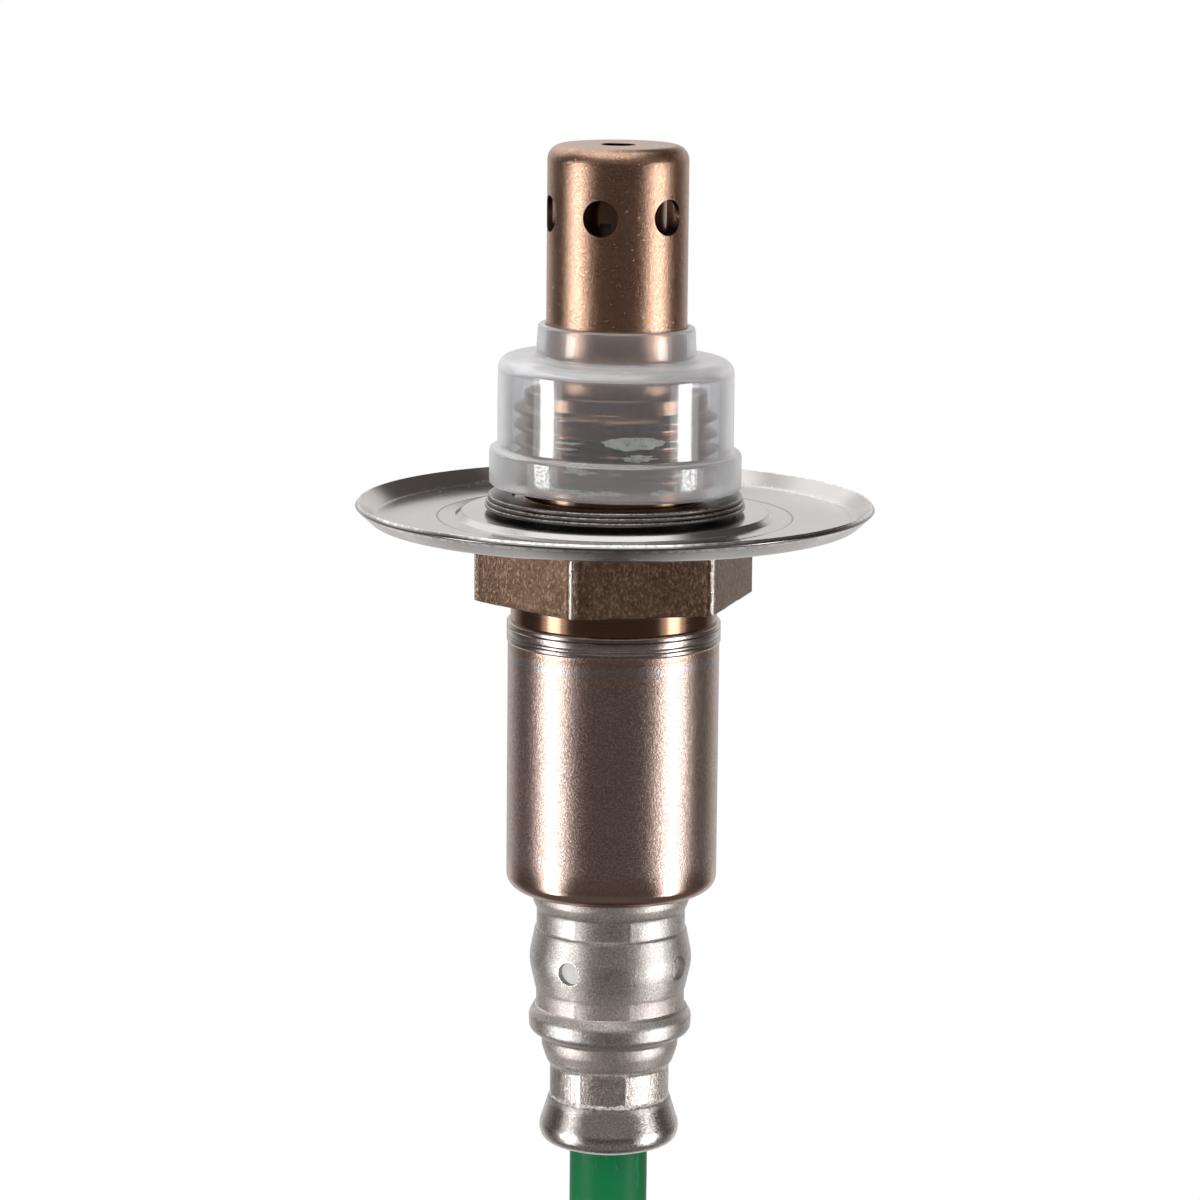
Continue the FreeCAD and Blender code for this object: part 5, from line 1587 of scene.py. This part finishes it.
roomZones = {
    # axis, where the zone starts and where it is full, for the parts of a direction of length 1
    "wall": [("z", -0.04, 0.04), ("y", 0.35, 0.85)],
    "high": [("z", 0.30, 0.42)],
    "upperWall": [("y", 0.10, 0.55)],
    "leftSide": [("x", 0.10, -0.02)],
    "table": [("behind", 0.55, 0.9), ("z", -0.97, -0.90), ("z", 0.02, -0.05)],
    "lowFront": [("z", -0.15, -0.55), ("z", -0.99, -0.90)],
    "upperFront": [("z", 0.08, 0.30), ("y", 0.1, -0.4)],
    "ceiling": [
        ("z", 0.70, 0.80), ("y", 0.42, 0.28), ("y", -0.72, -0.60), ("x", 0.42, 0.30), ("x", -0.75, -0.60),
    ],
}


def addLamp(name, turn, width, height, power, level, mirrored=True, back=0):
    lamp = bpy.data.lights.new(name, "AREA")
    lamp.shape = "RECTANGLE"
    lamp.size = width * mm
    lamp.size_y = height * mm
    lamp.energy = power
    made = bpy.data.objects.new(name, lamp)
    bpy.context.scene.collection.objects.link(made)
    place = pointAt(studio["stripDistance"] + back, turn, level)
    made.location = place * mm
    inward = Vector((-place.x, -place.y, 0))
    made.rotation_euler = inward.to_track_quat("-Z", "Y").to_euler()
    made.visible_glossy = mirrored
    made.visible_transmission = mirrored


def addLights():
    plan = studio
    for name, side in (("Left", -1), ("Right", 1)):
        addLamp("strip" + name, side * plan["stripTurn"], plan["stripWidth"], plan["stripHeight"],
                plan["stripPower"], plan["stripLevel"])
        addLamp("glow" + name, side * plan["stripTurn"], plan["glowWidth"], plan["stripHeight"],
                plan["glowPower"], plan["stripLevel"], back=10)
        addLamp("rear" + name, side * plan["rearTurn"], plan["rearWidth"], plan["stripHeight"],
                plan["rearPower"], plan["stripLevel"])
    addLamp("fill", 0, plan["fillWidth"], plan["fillWidth"], plan["fillPower"], plan["fillLevel"],
            mirrored=False)


def zone(graph, name):
    # A soft-edged part of the room round the object.
    return math.prod(graph.level(getattr(graph, axis), start, full) for axis, start, full in roomZones[name])


def addWorld():
    # White to the camera; elsewhere a dark room with a pale wall behind and a pale table beyond.
    graph = Graph("studio", world=True)
    plan = studio
    path = graph.node("LightPath", output="Is Camera Ray")
    outputs = path.socket.node.outputs
    # The plastic shows the white behind it, but metal seen through the plastic shows the room.
    clear = (Wire(graph, outputs["Is Transmission Ray"]) - Wire(graph, outputs["Glossy Depth"])).clamped()
    seen = path.math("MAXIMUM", clear)
    # How far to the rear a direction points, seen from above; 1.0001 keeps it finite straight up.
    graph.behind = graph.y / (1.0001 - graph.z * graph.z).math("SQRT")
    high = zone(graph, "high")
    wall = zone(graph, "wall") * (1 - high) * plan["backdrop"]
    upperLight = zone(graph, "leftSide") * plan["upperLeft"] + plan["upperRight"]
    wall = wall + high * zone(graph, "upperWall") * upperLight
    wall = wall.math("MAXIMUM", zone(graph, "ceiling") * plan["overhead"])
    table = zone(graph, "table")
    light = wall + table * plan["table"] + zone(graph, "lowFront") * (1 - table) * plan["low"]
    light = light + zone(graph, "upperFront") * plan["high"]
    room = graph.node("AddShader", inputs={
        0: graph.node("Background", inputs={"Color": rgba(plan["dim"])}),
        1: graph.node("Background", inputs={"Color": (1, 1, 1, 1), "Strength": light}),
    })
    white = graph.node("Background", inputs={"Color": (1, 1, 1, 1), "Strength": 1.0})
    bpy.context.scene.world = graph.output(graph.mixed(seen, room, white), "OutputWorld")


def addFloor():
    deselectAll()
    level = cadBox[0][2] - studio["floorGap"] * mm
    bpy.ops.mesh.primitive_circle_add(
        vertices=96, radius=studio["floorRadius"] * mm, fill_type="NGON", location=(0, 0, level))
    floor = bpy.context.object
    floor.name = "floor"
    graph = Graph("paleFloor")
    path = graph.node("LightPath", output="Is Camera Ray")
    through = Wire(graph, path.socket.node.outputs["Is Transmission Ray"])
    diffuse = graph.node("BsdfDiffuse", inputs={"Color": (0.8, 0.8, 0.8, 1)})
    glow = graph.node("Emission", inputs={"Strength": 1.0})
    floor.data.materials.append(graph.output(graph.mixed(path.math("MAXIMUM", through), diffuse, glow)))
    floor.visible_glossy = False  # polished steel shows the room below the table's edge


addLights()
addWorld()
addFloor()
bpy.context.scene.view_settings.view_transform = "Standard"
print("studio set")
